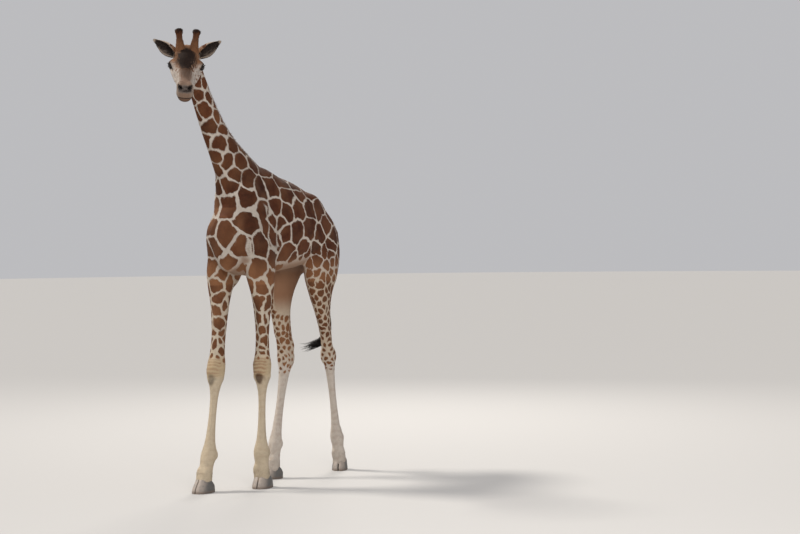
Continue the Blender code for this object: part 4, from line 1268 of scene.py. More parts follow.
def paint_ears(places, normals, body, layers):
    """Ears: pale outside with a brown root, nearly black within, where painted shade darkens the middle of
    each cup most, and a light rim.
    """
    inner, middle = np.zeros(len(places)), np.zeros(len(places))
    for word, side in (("left", 1), ("right", -1)):
        foot, tip, across, opening = (np.array(part) for part in ear_axes(word))
        reach = np.linalg.norm(tip - foot)
        share = (places - foot) @ (tip - foot) / reach ** 2
        off_axis = np.abs((places - foot) @ across) / (EAR_WIDTH * 0.5) + 0.12 * ripple(places, 0.02, 37)
        own = body.left * side > 0
        inner = np.where(own, rise(normals @ opening, 0.05, 0.4) * fall(share, 0.86, 0.98), inner)
        # middle is highest down the middle of each ear's cup, where the painted shade is deepest.
        middle = np.where(own, fall(off_axis, 0.5, 1.05), middle)
    # Inside the ear the soot layer is partly the dark inner hide and partly painted shade of the hollow cup.
    own = dict(inside=-0.05, tone=0, fade=0.4, cream=0.25, soot=inner * (0.62 + 0.38 * middle),
               rust=0.3 * (1 - inner) + 0.45 * inner * (1 - middle), bare=0.2 * inner)
    for name in layers:
        layers[name] = layers[name] * (1 - body.ear) + own[name] * body.ear


def paint(places, normals, body, edge, patch):
    """All layers for a set of points."""
    layers = body_layers(places, normals, body, edge, patch)
    paint_head(places, body, layers)
    paint_ears(places, normals, body, layers)
    for name in layers:
        if name != "tone":
            low, high = (-0.03, 0.05) if name == "inside" else (0, 1)
            layers[name] = np.clip(layers[name], low, high)
    layers["lock"] = np.zeros(len(places))
    return layers


def wear_layers(obj, layers):
    """Store the layers on a mesh's points, for its finish to read."""
    for name, values in layers.items():
        attribute = obj.data.attributes.new("coat_" + name, "FLOAT", "POINT")
        attribute.data.foreach_set("value", np.asarray(values, np.float32))


skin_layers = paint(skin_places, skin_normals, skin_body, skin_edge, skin_patch)
wear_layers(skin, skin_layers)
print("share of the hide inside a patch:", round(float((skin_layers["inside"] > 0).mean()), 2))

# %% [markdown]
# ## The finish of the coat
#
# One shader group mixes the hair colours from the layers. The line between a patch and
# its pale surround is not drawn with a ruler: fine noise moves it by a few millimetres,
# as the tips of the hairs do. A second group gives the fine grain of lying hair. Nodes
# are many and small, so a Flow carries a value from one to the next.

# %% Shader helpers
class Flow:
    """A value, vector or colour on its way through a shader; sums and products add Math nodes."""

    def __init__(self, socket):
        self.socket = socket
        self.tree = socket.id_data

    def through(self, operation, other=0.0):
        node = add_node(self.tree, "Math", operation=operation)
        feed(node.inputs[0], self)
        feed(node.inputs[1], other)
        return Flow(node.outputs[0])

    def __add__(self, other):
        return self.through("ADD", other)

    def __sub__(self, other):
        return self.through("SUBTRACT", other)

    def __mul__(self, other):
        return self.through("MULTIPLY", other)


def add_node(tree, kind, **settings):
    node = tree.nodes.new("ShaderNode" + kind)
    for name, value in settings.items():
        setattr(node, name, value)
    return node


def feed(socket, value):
    """Link a Flow to a socket, or set a number, a vector or a colour on it."""
    if isinstance(value, Flow):
        value.tree.links.new(value.socket, socket)
    else:
        socket.default_value = (*value, 1) if socket.type == "RGBA" else value


def ramp(value, start, end, low=0.0, high=1.0):
    """A smooth step of a value from low to high."""
    node = add_node(value.tree, "MapRange", interpolation_type="SMOOTHSTEP")
    for name, number in (("Value", value), ("From Min", start), ("From Max", end), ("To Min", low),
                         ("To Max", high)):
        feed(node.inputs[name], number)
    return Flow(node.outputs["Result"])


def mix(share, a, b, blend="MIX"):
    """Mix two colours, each a Flow or an RGB triple."""
    tree = next(part.tree for part in (share, a, b) if isinstance(part, Flow))
    node = add_node(tree, "Mix", data_type="RGBA", blend_type=blend)
    for socket, value in zip([socket for socket in node.inputs if socket.enabled], (share, a, b)):
        feed(socket, value)
    return Flow(next(socket for socket in node.outputs if socket.enabled))


def noise(place, scale, detail=2.0, roughness=0.5):
    node = add_node(place.tree, "TexNoise")
    for name, value in (("Vector", place), ("Scale", scale), ("Detail", detail), ("Roughness", roughness)):
        feed(node.inputs[name], value)
    return Flow(node.outputs["Fac"])


def vector_maths(operation, a, b):
    node = add_node(a.tree, "VectorMath", operation=operation)
    feed(node.inputs[0], a)
    feed(node.inputs[1], b)
    return Flow(node.outputs["Value" if operation == "DOT_PRODUCT" else "Vector"])


def stored(tree, name):
    """A layer stored on the mesh's points."""
    return Flow(add_node(tree, "Attribute", attribute_name="coat_" + name).outputs["Fac"])


print("shader helpers ready")


# %% Groups and materials
def new_group(name, values, results):
    """An empty shader group that takes a place and named values and gives named results."""
    tree = bpy.data.node_groups.new(name, "ShaderNodeTree")
    tree.interface.new_socket("Place", in_out="INPUT", socket_type="NodeSocketVector")
    for word, default in values.items():
        socket = tree.interface.new_socket(word, in_out="INPUT", socket_type="NodeSocketFloat")
        socket.default_value = default
    for word, kind in results.items():
        tree.interface.new_socket(word, in_out="OUTPUT", socket_type="NodeSocket" + kind)
    given = {socket.name: Flow(socket) for socket in tree.nodes.new("NodeGroupInput").outputs}
    return tree, given, tree.nodes.new("NodeGroupOutput").inputs


def use_group(group, place, **values):
    """Place a group in a material; its results are given by name."""
    node = add_node(place.tree, "Group", node_tree=group)
    for name, value in {"Place": place, **values}.items():
        feed(node.inputs[name], value)
    return {socket.name: Flow(socket) for socket in node.outputs}


def start_material(name, roughness=0.5):
    """A new material, the sockets of its shader, and the place on the mesh."""
    mat = plain_material(name, (0.1, 0.1, 0.1), roughness)
    place = Flow(add_node(mat.node_tree, "TexCoord").outputs["Object"])
    return mat, mat.node_tree.nodes["Principled BSDF"].inputs, place


def raise_grain(shader, height, strength, distance):
    """Turn a height into small bumps."""
    bump = add_node(height.tree, "Bump")
    for name, value in (("Strength", strength), ("Distance", distance), ("Height", height)):
        feed(bump.inputs[name], value)
    feed(shader["Normal"], Flow(bump.outputs["Normal"]))


print("group and material helpers ready")


# %% The colours of giraffe hair
PATCH_DARK = (0.04, 0.013, 0.007)
PATCH_RED = (0.112, 0.0325, 0.0132)
PATCH_FADED = (0.25, 0.112, 0.052)
LINE_PALE = (0.56, 0.5, 0.445)
LINE_CREAM = (0.56, 0.45, 0.29)
LINE_DUSTY = (0.36, 0.29, 0.23)
RUST = (0.27, 0.13, 0.062)
# Near-black of dark hair and hide; the same colour also paints shade in the ear cups, above the eyes and
# along the mouth.
NEAR_BLACK_AND_SHADE = (0.016, 0.0098, 0.008)
BARE_HIDE = (0.25, 0.175, 0.15)
LAYERS = ("inside", "tone", "fade", "cream", "soot", "rust", "bare", "lock")


def colour_group():
    """Hair colour from the layers."""
    values = {name.capitalize(): 0.0 for name in LAYERS}
    tree, given, result = new_group("giraffe_colour", {**values, "Ragged": 0.0035}, {"Colour": "Color"})
    place, inside, soot = given["Place"], given["Inside"], given["Soot"]
    fine = noise(place, 260.0) - 0.5
    blotch = noise(place, 26.0, 3.0, 0.6)
    patch = ramp(inside + fine * given["Ragged"] * 2.0, -0.0012, 0.0016)
    depth = given["Tone"] * 0.26 + 0.46 + (blotch - 0.5) * 1.1 - ramp(inside, 0.004, 0.04) * 0.1
    brown = mix(depth, PATCH_DARK, PATCH_RED)
    brown = mix(given["Fade"] + (noise(place, 9.0) - 0.5) * 0.5, brown, PATCH_FADED)
    pale = mix(given["Cream"], LINE_PALE, LINE_CREAM)
    pale = mix(ramp(blotch, 0.3, 0.75, 0.0, 0.22), pale, LINE_DUSTY)
    colour = mix(patch, pale, brown)
    colour = mix(given["Rust"], colour, RUST)
    colour = mix(given["Bare"], colour, BARE_HIDE)
    # The soot layer mixes in near-black, for dark markings and for painted shade alike.
    colour = mix(soot + fine * (soot * 0.7), colour, NEAR_BLACK_AND_SHADE)
    streak = ramp(noise(place, 520.0, 1.0), 0.25, 0.75, 0.84, 1.14) + given["Lock"] * 0.13
    shade = add_node(tree, "CombineColor")
    for socket in shade.inputs:
        feed(socket, streak)
    feed(result["Colour"], mix(1.0, colour, Flow(shade.outputs[0]), "MULTIPLY"))
    return tree


def hair_grain_group():
    """Fine streaks of lying hair, as a height for bump and a small change of shine."""
    tree, given, result = new_group("hair_grain", {"Scale": 1.0}, {"Height": "Float", "Shine": "Float"})
    strands = noise(vector_maths("MULTIPLY", given["Place"], (1, 1, 0.22)), given["Scale"] * 620.0, 2.0, 0.6)
    folds = noise(given["Place"], 60.0, 3.0, 0.6)
    feed(result["Height"], strands + folds * 0.8)
    feed(result["Shine"], ramp(strands, 0.3, 0.7, 0.62, 0.8))
    return tree


COLOUR_GROUP = colour_group()
GRAIN_GROUP = hair_grain_group()


def hair_material(name, ragged, bump, sheen, tips=None):
    """A coat finish: colours from the layers, streaked bump, a little sheen, darker tips if asked."""
    mat, shader, place = start_material(name)
    layers = {layer.capitalize(): stored(place.tree, layer) for layer in LAYERS}
    colour = use_group(COLOUR_GROUP, place, Ragged=ragged, **layers)["Colour"]
    if tips:
        colour = mix(ramp(stored(place.tree, "height"), 0.35, 1.0, 0.0, 0.75), colour, tips)
    feed(shader["Base Color"], colour)
    grain = use_group(GRAIN_GROUP, place, Scale=1.0)
    feed(shader["Roughness"], grain["Shine"])
    raise_grain(shader, grain["Height"], bump, 0.0016)
    feed(shader["Sheen Weight"], sheen)
    feed(shader["Sheen Roughness"], 0.45)
    feed(shader["Specular IOR Level"], 0.1)
    return mat


SKIN_FINISH = hair_material("hide", 0.004, 0.55, 0.03)
COAT_FINISH = hair_material("coat", 0.003, 0.2, 0.03)
skin.data.materials.append(SKIN_FINISH)
print("coat finishes ready")

# %% [markdown]
# ## Tufts of hair as solid mesh
#
# Particle hair would be lost when the model is handed on, so every tuft is a small
# closed blade with four points: two at the root, one on its ridge and one at its tip.
# Their roots are spread evenly over the hide by area, and each lies in the direction
# that a hand would stroke the coat.

# %% Even sowing over a mesh
def triangles_of(obj):
    obj.data.calc_loop_triangles()
    corners = np.empty(len(obj.data.loop_triangles) * 3, np.int32)
    obj.data.loop_triangles.foreach_get("vertices", corners)
    return corners.reshape(-1, 3)


def sow(places, normals, triangles, weights, count, rng):
    """Spread roots over the triangles, in step with area times weight."""
    a, b, c = (places[triangles[:, k]] for k in range(3))
    area = np.linalg.norm(np.cross(b - a, c - a), axis=1) * weights
    reach = np.cumsum(area)
    steps = (np.arange(count) + rng.uniform(0, 1, count)) * reach[-1] / count
    chosen = triangles[np.minimum(np.searchsorted(reach, steps), len(area) - 1)]
    u, v = rng.uniform(0, 1, (2, count))
    fold = u + v > 1
    u, v = np.where(fold, 1 - u, u), np.where(fold, 1 - v, v)
    shares = np.stack([1 - u - v, u, v], 1)[:, :, None]
    return (places[chosen] * shares).sum(1), unit((normals[chosen] * shares).sum(1))


# %% The lie of the coat
def flat_on(normals, ways):
    """Directions pressed flat against the hide."""
    return unit(ways - normals * (ways * normals).sum(1)[:, None])


def lie_of_coat(places, normals, body):
    """Which way the hair points, flat along the hide."""
    count = len(places)
    lie = np.tile(np.array((0.0, 0.8, -0.6)), (count, 1))
    _, ty, tz = neck_at(body.neck_distance)
    leg = np.maximum(body.leg, fall(places[:, 2], 1.75, 2.0))
    for share, way in ((body.neck, np.stack([0 * ty, -ty, -tz], 1)), (leg, (0.0, 0.1, -1.0)),
                       (body.tail, (0, 0.05, -1.0)), (body.head, head_vector(-0.95, 0, 0.1))):
        lie += (np.array(way) - lie) * share[:, None]
    for word, side in (("left", 1), ("right", -1)):
        foot, tip, _, _ = ear_axes(word)
        own = body.ear * (body.left * side > 0)
        lie += (np.array((tip - foot).normalized()) - lie) * own[:, None]
    swirl = np.stack([ripple(places, 0.12, 41 + k) for k in range(3)], 1)
    return flat_on(normals, lie + 0.1 * swirl)


def hair_length(body):
    """Length of the tufts: long on the trunk, very short on face and feet."""
    length = np.full(len(body.z), 0.0115)
    length -= 0.002 * body.leg * fall(body.z, 0.9, 1.5)
    length += 0.006 * (body.z < 0.17)
    length = np.where(body.tail, 0.02, length)
    length += body.head * (0.0085 + 0.006 * rise(-body.along, 0.02, 0.16) - length)
    length = np.where((body.head > 0.5) & (body.along > 0.24), 0.0045, length)
    return length + body.ear * (0.011 - length)


# %% Hairs in one mesh
def hair_mesh(name, points, faces, chart, layers, finish):
    """Many hairs of one build: hairs x points x 3, one hair's faces, and a map of hairs x points x 2."""
    count, size = points.shape[:2]
    corners = (np.array(faces)[None] + size * np.arange(count)[:, None, None]).ravel().astype(np.int32)
    mesh = bpy.data.meshes.new(name)
    mesh.vertices.add(count * size)
    mesh.vertices.foreach_set("co", points.ravel())
    mesh.loops.add(len(corners))
    mesh.loops.foreach_set("vertex_index", corners)
    mesh.polygons.add(len(corners) // 3)
    mesh.polygons.foreach_set("loop_start", np.arange(0, len(corners), 3, dtype=np.int32))
    mesh.uv_layers.new(name="OFBake")
    mesh.uv_layers["OFBake"].data.foreach_set("uv", chart.reshape(-1, 2)[corners].ravel())
    mesh.update()
    mesh.shade_smooth()
    mesh.materials.append(finish)
    obj = add_object(name, mesh)
    wear_layers(obj, {key: np.repeat(value, size) for key, value in layers.items()})
    return obj


def blade_mesh(name, roots, normals, lie, length, width, lift, chart, layers, finish):
    """Many closed four-point blades, with soft hair-like normals."""
    aside = unit(np.cross(lie, normals))
    half = aside * (width / 2)[:, None]
    sunk = roots - normals * 0.0006
    ridge = roots + lie * (0.42 * length)[:, None] + normals * (lift * 0.75)[:, None]
    tip = roots + lie * length[:, None] + normals * lift[:, None]
    patch = 0.003 * np.array([(-0.5, -0.5), (0.5, -0.5), (0.0, 0.1), (0.0, 0.5)])
    points = np.stack([sunk - half, sunk + half, ridge, tip], 1)
    faces = [(0, 1, 2), (0, 2, 3), (1, 3, 2), (0, 3, 1)]
    blades = hair_mesh(name, points, faces, chart[:, None, :] + patch, layers, finish)
    leaned = [unit(normals * 0.9 + aside * turn + lie * 0.15) for turn in (-0.35, 0.35)]
    soft = np.stack([*leaned, normals, unit(normals + 0.35 * lie)], 1).reshape(-1, 3)
    blades.data.normals_split_custom_set_from_vertices(soft)
    return blades


# %% Charts for the bake map
def turn_share(a, b):
    """An angle as a share of a full turn."""
    return np.arctan2(a, b) / (2 * math.pi) + 0.5


def chart_place(u, v, low, high):
    """A place on the map, with a small margin round it."""
    return 0.02 + 0.96 * np.stack([u, np.clip((v - low) / (high - low), 0, 1)], 1)


def coat_chart(region, body, normals):
    """Each root's place on an unwrap: round the tube of the body part, and along it."""
    if region == "head":
        face = np.stack([0.02 + 0.66 * turn_share(body.left, body.up + 0.035),
                         0.04 + 0.92 * np.clip((body.along + 0.25) / 0.65, 0, 1)], 1)
        reach = np.clip((np.abs(body.left) - 0.05) / 0.22, 0, 1)
        ear = np.stack([0.72 + 0.25 * turn_share(normals[:, 0], normals[:, 2]),
                        np.where(body.left > 0, 0.03, 0.52) + 0.45 * reach], 1)
        return np.where(body.ear[:, None] > 0.5, ear, face)
    if region == "neck":
        return chart_place(body.neck_angle / 360 + 0.5, body.neck_distance, 0, NECK_LENGTH)
    if region.startswith("trunk"):
        half_turn = np.clip(2 * turn_share(np.abs(body.x), body.z - 2.05) - 1, 0, 1)
        return chart_place(half_turn, body.y, -0.8, 0.95)
    low, high = (1.3, 2.1) if region == "tail" else (0, 1.9)
    return chart_place(turn_share(normals[:, 0], normals[:, 1]), body.z, low, high)


# %% [markdown]
# ## Growing the coat
#
# The coat is grown in nine pieces, so that each stays light. The hair is short and
# lies flat, so the tufts only break the outline and fray the edges of the patches,
# while the fine grain stays in the finish.

# %% Regions of the coat
TUFT_COUNTS = {"head": 47000, "neck": 47000, "trunk_left": 47000, "trunk_right": 47000,
               "foreleg_left": 27000, "foreleg_right": 27000, "hindleg_left": 27000,
               "hindleg_right": 27000, "tail": 5000}


def coat_regions(body):
    """Which piece of the coat each point belongs to, in the order of the counts."""
    number = np.where(body.x > 0, 2, 3)
    number = np.where(body.z < 1.72, 4 + body.which_leg, number)
    number = np.where(body.neck > 0.5, 1, number)
    number = np.where((body.head > 0.5) | (body.ear > 0.5), 0, number)
    number = np.where((body.neck_distance > 1.3) & (body.z > 3.0) & (number > 1), 1, number)
    return np.where(body.tail, 8, number)


def tuft_weights(body):
    """Thicker sowing where tufts are short; none on the lips or in the lids."""
    weight = np.ones(len(body.z))
    weight += 0.6 * body.leg * fall(body.z, 0.9, 1.5)
    on_head = body.head > 0.5
    weight = weight * (1 + on_head)
    weight[on_head & (body.along > 0.285)] = 0.15
    weight[on_head & (body.along > 0.2) & (np.abs(body.up - mouth_height(body.along)) < 0.01)] = 0
    places = np.stack([body.x, body.y, body.z], 1)
    for side in (-1, 1):
        near = np.linalg.norm(places - np.array(eye_middle(side)), axis=1) < 0.045
        weight[near & (eye_gap(places, side)[0] < 0.0035)] = 0
    return weight


def grow_coat():
    """All pieces of the coat."""
    triangles = triangles_of(skin)
    weights = tuft_weights(skin_body)[triangles].min(1)
    region = coat_regions(skin_body)[triangles[:, 0]]
    pieces = []
    for k, name in enumerate(TUFT_COUNTS):
        rng = np.random.default_rng(100 + k)
        count = int(TUFT_COUNTS[name] * (1.0))
        roots, ways = sow(skin_places, skin_normals, triangles, weights * (region == k), count, rng)
        body = Body(roots)
        edge, patch = patch_edges(roots)
        layers = paint(roots, ways, body, edge, patch)
        layers["inside"] = layers["inside"] + rng.normal(0, 0.0012, count)
        layers["lock"] = rng.uniform(-1, 1, count)
        lie = flat_on(ways, unit(lie_of_coat(roots, ways, body) + 0.1 * rng.normal(size=(count, 3))))
        length = hair_length(body) * rng.uniform(0.72, 1.25, count)
        width = length * (0.23 + 0.07 * (length < 0.01)) * rng.uniform(0.8, 1.2, count)
        lift = np.clip(length * 0.11, 0.0006, 0.0024) * rng.uniform(0.5, 1.35, count)
        pieces.append(blade_mesh("coat_" + name, roots, ways, lie, length, width, lift,
                                 coat_chart(name, body, ways), layers, COAT_FINISH))
        print("coat_" + name, count, "tufts")
    return pieces


coat_pieces = grow_coat()

# %% [markdown]
# ## Long hair
#
# Long hairs are modelled one lock at a time: a thin three-sided tube along a path of a
# few points and ends in a tip. The mane stands up, the lashes curve, and the tuft of
# the tail hangs and twists.

# %% A lock along a path
def lock_mesh(name, paths, aside, radius, finish, layers):
    """Many locks in one mesh. paths: locks x points x 3; aside: one side way for each lock."""
    count, points = paths.shape[:2]
    steps = np.linspace(0, 1, points)
    along = unit(np.gradient(paths, axis=1))
    aside = unit(aside[:, None, :] - along * (along * aside[:, None, :]).sum(2)[:, :, None])
    third = np.cross(along, aside)
    thick = radius[:, None, None] * np.sqrt(np.clip(1 - steps ** 2.2, 0, 1))[:, None]
    rings = [paths + (aside * math.cos(angle) + third * math.sin(angle) * 0.55) * thick
             for angle in (0, 2 * math.pi / 3, 4 * math.pi / 3)]
    rings = np.stack(rings, 2)[:, :-1].reshape(count, -1, 3)
    last = 3 * (points - 2)
    faces = [(0, 2, 1)] + [(last + k, last + (k + 1) % 3, last + 3) for k in range(3)]
    for a, b, c, d in ring_faces(points - 1, 3):
        faces += [(a, b, c), (a, c, d)]
    heights = np.append(np.repeat(steps[:-1], 3), 1.0)
    spread = math.ceil(math.sqrt(count))
    corner = np.stack([np.arange(count) % spread, np.arange(count) // spread], 1) / spread
    local = np.stack([np.append(np.tile([0, 0.5, 1], points - 1), 0.5), heights], 1)
    chart = 0.01 + 0.98 * (corner[:, None, :] + 0.9 * local / spread)
    locks = hair_mesh(name, np.concatenate([rings, paths[:, -1:]], 1), faces, chart, layers, finish)
    wear_layers(locks, {"height": np.tile(heights, count)})
    return locks


# %% Mane
MANE_START = 0.24  # metres up the neck's path
MANE_HEIGHT = 0.044
MANE_HALF = 0.0125  # half the width of its root


def mane_paths(count):
    """Roots along the crest, with the hair standing up and leaning back a little."""
    rng = np.random.default_rng(61)
    distance = MANE_START + (NECK_LENGTH + 0.02 - MANE_START) * rng.uniform(0, 1, count)
    row, ty, tz = neck_at(np.minimum(distance, NECK_LENGTH))
    over = np.maximum(distance - NECK_LENGTH, 0)
    across = rng.normal(0, 0.45, count).clip(-1, 1) * MANE_HALF
    depth = row[5] - NECK_COAT - 0.004 - 0.35 * across ** 2 / 0.02
    out = np.stack([np.zeros(count), tz, -ty], 1)
    roots = np.stack([row[0] + across, row[1] + tz * depth + over * ty, row[2] - ty * depth + over * tz], 1)
    share = (distance - MANE_START) / (NECK_LENGTH - MANE_START)
    height = MANE_HEIGHT * np.minimum(1, np.minimum(0.35 + 3 * share, 0.55 + 3 * (1 - share)))
    height = height * rng.uniform(0.72, 1.04, count) * (1 - 0.35 * np.abs(across) / MANE_HALF) + 0.006
    lean = np.stack([rng.normal(0, 0.1, count) + across * 12, -0.22 * ty, -0.22 * tz], 1)
    lean += 0.07 * rng.normal(size=(count, 3))
    steps = np.linspace(0, 1, 4)[:, None]
    curves = out[:, None, :] * steps + lean[:, None, :] * steps ** 1.6
    return roots[:, None, :] + height[:, None, None] * curves, rng


def add_mane():
    """The mane wears the coat's own markings, browner and with darker tips."""
    count = 7200
    paths, rng = mane_paths(count)
    edge, _ = patch_edges(paths[:, 0])
    layers = dict(inside=edge - 0.008 + rng.normal(0, 0.003, count), lock=rng.uniform(-1, 1, count))
    for name, value in (("tone", -0.3), ("fade", 0.45), ("cream", 0.55), ("rust", 0.3)):
        layers[name] = np.full(count, value)
    finish = hair_material("mane_hair", 0.006, 0.15, 0.15, tips=(0.075, 0.028, 0.015))
    aside = np.tile((1.0, 0, 0), (count, 1))
    return lock_mesh("mane_hairs", paths, aside, rng.uniform(0.0016, 0.0026, count), finish, layers)


mane = add_mane()
print("mane:", len(mane.data.polygons), "faces")

# %% [markdown]
# ## The tuft of the tail
#
# The tail ends in a long brush of coarse black hair, swung forward and aside. It hangs
# in an arc below the tail's bone.

# %% Tail tuft
# x, y, z, radius
TUFT_ROWS = smooth_rows([
    (0.0, 0.852, 1.4235, 0.012), (0.0, 0.852, 1.385, 0.018), (0.0, 0.848, 1.32, 0.026),
    (-0.004, 0.842, 1.24, 0.032), (-0.02, 0.83, 1.165, 0.037), (-0.058, 0.808, 1.115, 0.04),
    (-0.11, 0.778, 1.085, 0.036), (-0.165, 0.746, 1.062, 0.026), (-0.225, 0.712, 1.046, 0.006),
], 6)


def dark_hair_material():
    """Coarse black hair with a brown cast and a soft shine."""
    mat, shader, place = start_material("dark_hair")
    grain = noise(place, 90.0)
    browner = ramp(grain, 0.35, 0.75, 0.0, 0.6) + stored(place.tree, "lock") * 0.25
    feed(shader["Base Color"], mix(browner, (0.008, 0.0065, 0.006), (0.04, 0.026, 0.019)))
    feed(shader["Roughness"], ramp(grain, 0.3, 0.7, 0.36, 0.55))
    return mat


DARK_HAIR = dark_hair_material()


def add_tail_tuft():
    """Locks that start on the tail's bone and follow the arc, each in its own lane."""
    rng = np.random.default_rng(71)
    count = 2600
    reach = reach_along(TUFT_ROWS)
    start = rng.uniform(0, 1, count) ** 1.6 * 0.45 * reach[-1]
    length = rng.uniform(0.34, 0.62, count) * reach[-1]
    end = np.minimum(start + length, reach[-1] * rng.uniform(0.55, 1.0, count))
    steps = np.linspace(0, 1, 8)
    at = start[:, None] + (end - start)[:, None] * steps
    centre = np.stack([np.interp(at, reach, TUFT_ROWS[:, k]) for k in range(3)], 2)
    angle = (rng.uniform(0, 2 * math.pi, count)[:, None] + 0.5 * steps)[:, :, None]
    lane = np.sqrt(rng.uniform(0.02, 1, count))[:, None] * np.minimum(0.25 + 1.2 * steps, 1.0)
    lane = (lane * (np.interp(at, reach, TUFT_ROWS[:, 3]) - 0.003))[:, :, None]
    along = unit(np.gradient(centre, axis=1))
    side = unit(np.cross(along, np.array((0.57, 0.82, 0.0))))
    offset = (side * np.cos(angle) + np.cross(along, side) * np.sin(angle)) * lane
    wisps = rng.normal(0, 1, (9, 3)) * (0.026, 0.028, 0.03)
    pull = wisps[rng.integers(0, 9, count)][:, None, :]
    share = (at / reach[-1])[:, :, None]
    late = rise(share, 0.45, 1.0)
    wave = 0.002 * rng.normal(size=(count, 8, 3)) * steps[:, None]
    paths = centre + offset * (1 - 0.8 * late) + pull * late * share + wave
    layers = {"lock": rng.uniform(-1, 1, count)}
    return lock_mesh("tail_locks", paths, side[:, 0], rng.uniform(0.0016, 0.0032, count), DARK_HAIR, layers)


tail_locks = add_tail_tuft()
print("tail tuft:", len(tail_locks.data.polygons), "faces")

# %% [markdown]
# ## Horns
#
# A giraffe's two horns are bone under skin and hair, with a knob at the end. Dark hair
# stands round the knob like a brush. The core is turned on a lathe from a few radii,
# made a little uneven, and tufts grow up along it.

# %% Horns
HORN_FOOT = (-0.06, 0.05, 0.085)
HORN_TIP = (-0.136, 0.069, 0.232)
HORN_ROWS = smooth_rows([(-0.12, 0.036), (0.12, 0.036), (0.36, 0.0285), (0.6, 0.0226), (0.8, 0.0236),
                         (0.93, 0.0236), (1.0, 0.018), (1.015, 0.008)], 5)
HORN_POINTS = 40
WORDS = {1: "left", -1: "right"}


def horn_core(side):
    """One horn's core, how far up it each point is, and its foot and axis."""
    foot, tip = (np.array(head_point(along, side * left, up)) for along, left, up in (HORN_FOOT, HORN_TIP))
    axis = unit(tip - foot)
    front = unit(np.cross(axis, np.array((0, 0, 1.0))))
    angles = (np.arange(HORN_POINTS) * 2 * math.pi / HORN_POINTS)[:, None]
    ring = np.cos(angles) * front + np.sin(angles) * np.cross(axis, front)
    places = np.vstack([foot + (tip - foot) * share + radius * ring for share, radius in HORN_ROWS])
    outward = unit(places - (foot + np.outer((places - foot) @ axis, axis)))
    places += outward * (0.0012 * ripple(places, 0.03, 81))[:, None]
    ends = HORN_ROWS[[0, -1], 0]
    shares = np.append(np.repeat(HORN_ROWS[:, 0], HORN_POINTS), ends)
    places = np.vstack([places, foot + (tip - foot) * ends[:, None]])
    rows = len(HORN_ROWS)
    top = (rows - 1) * HORN_POINTS
    faces = ring_faces(rows, HORN_POINTS)
    for j in range(HORN_POINTS):
        k = (j + 1) % HORN_POINTS
        faces += [(j, rows * HORN_POINTS, k), (top + j, top + k, rows * HORN_POINTS + 1)]
    core = smooth_object("horn_core_" + WORDS[side], bmesh_from(places.tolist(), faces), SKIN_FINISH)
    wear_layers(core, horn_layers(places, shares))
    return core, shares, axis


def horn_layers(places, shares):
    """Rusty at the foot, brown up the shaft, black hair on the knob."""
    dark = 0.9 * rise(shares + 0.05 * ripple(places, 0.03, 83), 0.76, 0.97)
    return dict(inside=0.006 + 0 * shares, tone=-0.5 + 0.5 * ripple(places, 0.05, 84), fade=0.25 + 0 * shares,
                soot=np.maximum(dark, 0.1), rust=0.5 * fall(shares, 0.25, 0.8))


def add_horn(side):
    """One horn with its core, flat tufts up the shaft and a brush of stiff hair on top."""
    core, shares, axis = horn_core(side)
    rng = np.random.default_rng(91 + side)
    points, ways = mesh_arrays(core)
    triangles = triangles_of(core)
    count = 4200
    high = shares[triangles].mean(1)
    weights = (high > 0.0) * (1 + 1.2 * (high > 0.75))
    roots, normals = sow(points, ways, triangles, weights, count, rng)
    reach = (roots - points[-2]) @ axis / ((points[-1] - points[-2]) @ axis)
    level = HORN_ROWS[0, 0] + reach * (HORN_ROWS[-1, 0] - HORN_ROWS[0, 0])
    standing = rise(level, 0.72, 0.97)[:, None]
    lie = unit(axis * (1 - 0.2 * standing) + normals * (0.06 + 0.9 * standing)
               + 0.15 * rng.normal(size=(count, 3)))
    length = (0.011 + 0.004 * standing[:, 0]) * rng.uniform(0.7, 1.1, count)
    length *= 1 - 0.25 * rise(level, 0.97, 1.0)
    layers = {**horn_layers(roots, level), "lock": rng.uniform(-1, 1, count)}
    chart = chart_place(turn_share(normals[:, 0], normals[:, 1]), level, -0.15, 1.05)
    fur = blade_mesh("horn_fur_" + WORDS[side], roots, unit(normals + 0.15 * lie), lie, length, length * 0.24,
                     np.full(count, 0.001), chart, layers, COAT_FINISH)
    return core, fur


horns = {side: add_horn(side) for side in (-1, 1)}
print("horn height:", round(float(np.linalg.norm(np.array(HORN_TIP) - np.array(HORN_FOOT))), 3), "m")

# %% [markdown]
# ## Eyes
#
# A giraffe's eye is nearly black, with a wide level pupil and a wet front that bulges.
# The ball is turned so that its pole looks along the line of sight; rings near the
# pole push out into the clear front. Iris and pupil are drawn by the finish from the
# place on the ball, so they stay sharp close by.

# %% Eyeballs
EYE_BULGE = 0.0012
EYE_BULGE_ENDS = 0.75  # radians from the pole


def eye_material(side):
    """Brown iris with rays, a level pupil and a thin wet coat."""
    mat, shader, place = start_material("eye_" + WORDS[side], 0.1)
    offset = vector_maths("SUBTRACT", place, eye_middle(side) + SLIDE)
    _, across, high = eye_axes(side)
    wide, tall = (vector_maths("DOT_PRODUCT", offset, axis) for axis in (across, high))
    far = (wide * wide + tall * tall).through("SQRT")
    squashed = tall * 1.9
    pupil = (wide * wide + squashed * squashed).through("SQRT")
    iris = mix(noise(place, 700.0), (0.006, 0.0028, 0.0016), (0.022, 0.01, 0.005))
    iris = mix(ramp(far, 0.0125, 0.0165), iris, (0.01, 0.006, 0.005))
    colour = mix(ramp(pupil, 0.0085, 0.01, 1.0, 0.0), iris, (0.0015, 0.0015, 0.002))
    feed(shader["Base Color"], mix(ramp(far, 0.0178, 0.02), colour, (0.035, 0.022, 0.018)))
    for name, value in (("Specular IOR Level", 0.1), ("Coat Weight", 0.6), ("Coat IOR", 1.38),
                        ("Coat Roughness", 0.02)):
        feed(shader[name], value)
    return mat


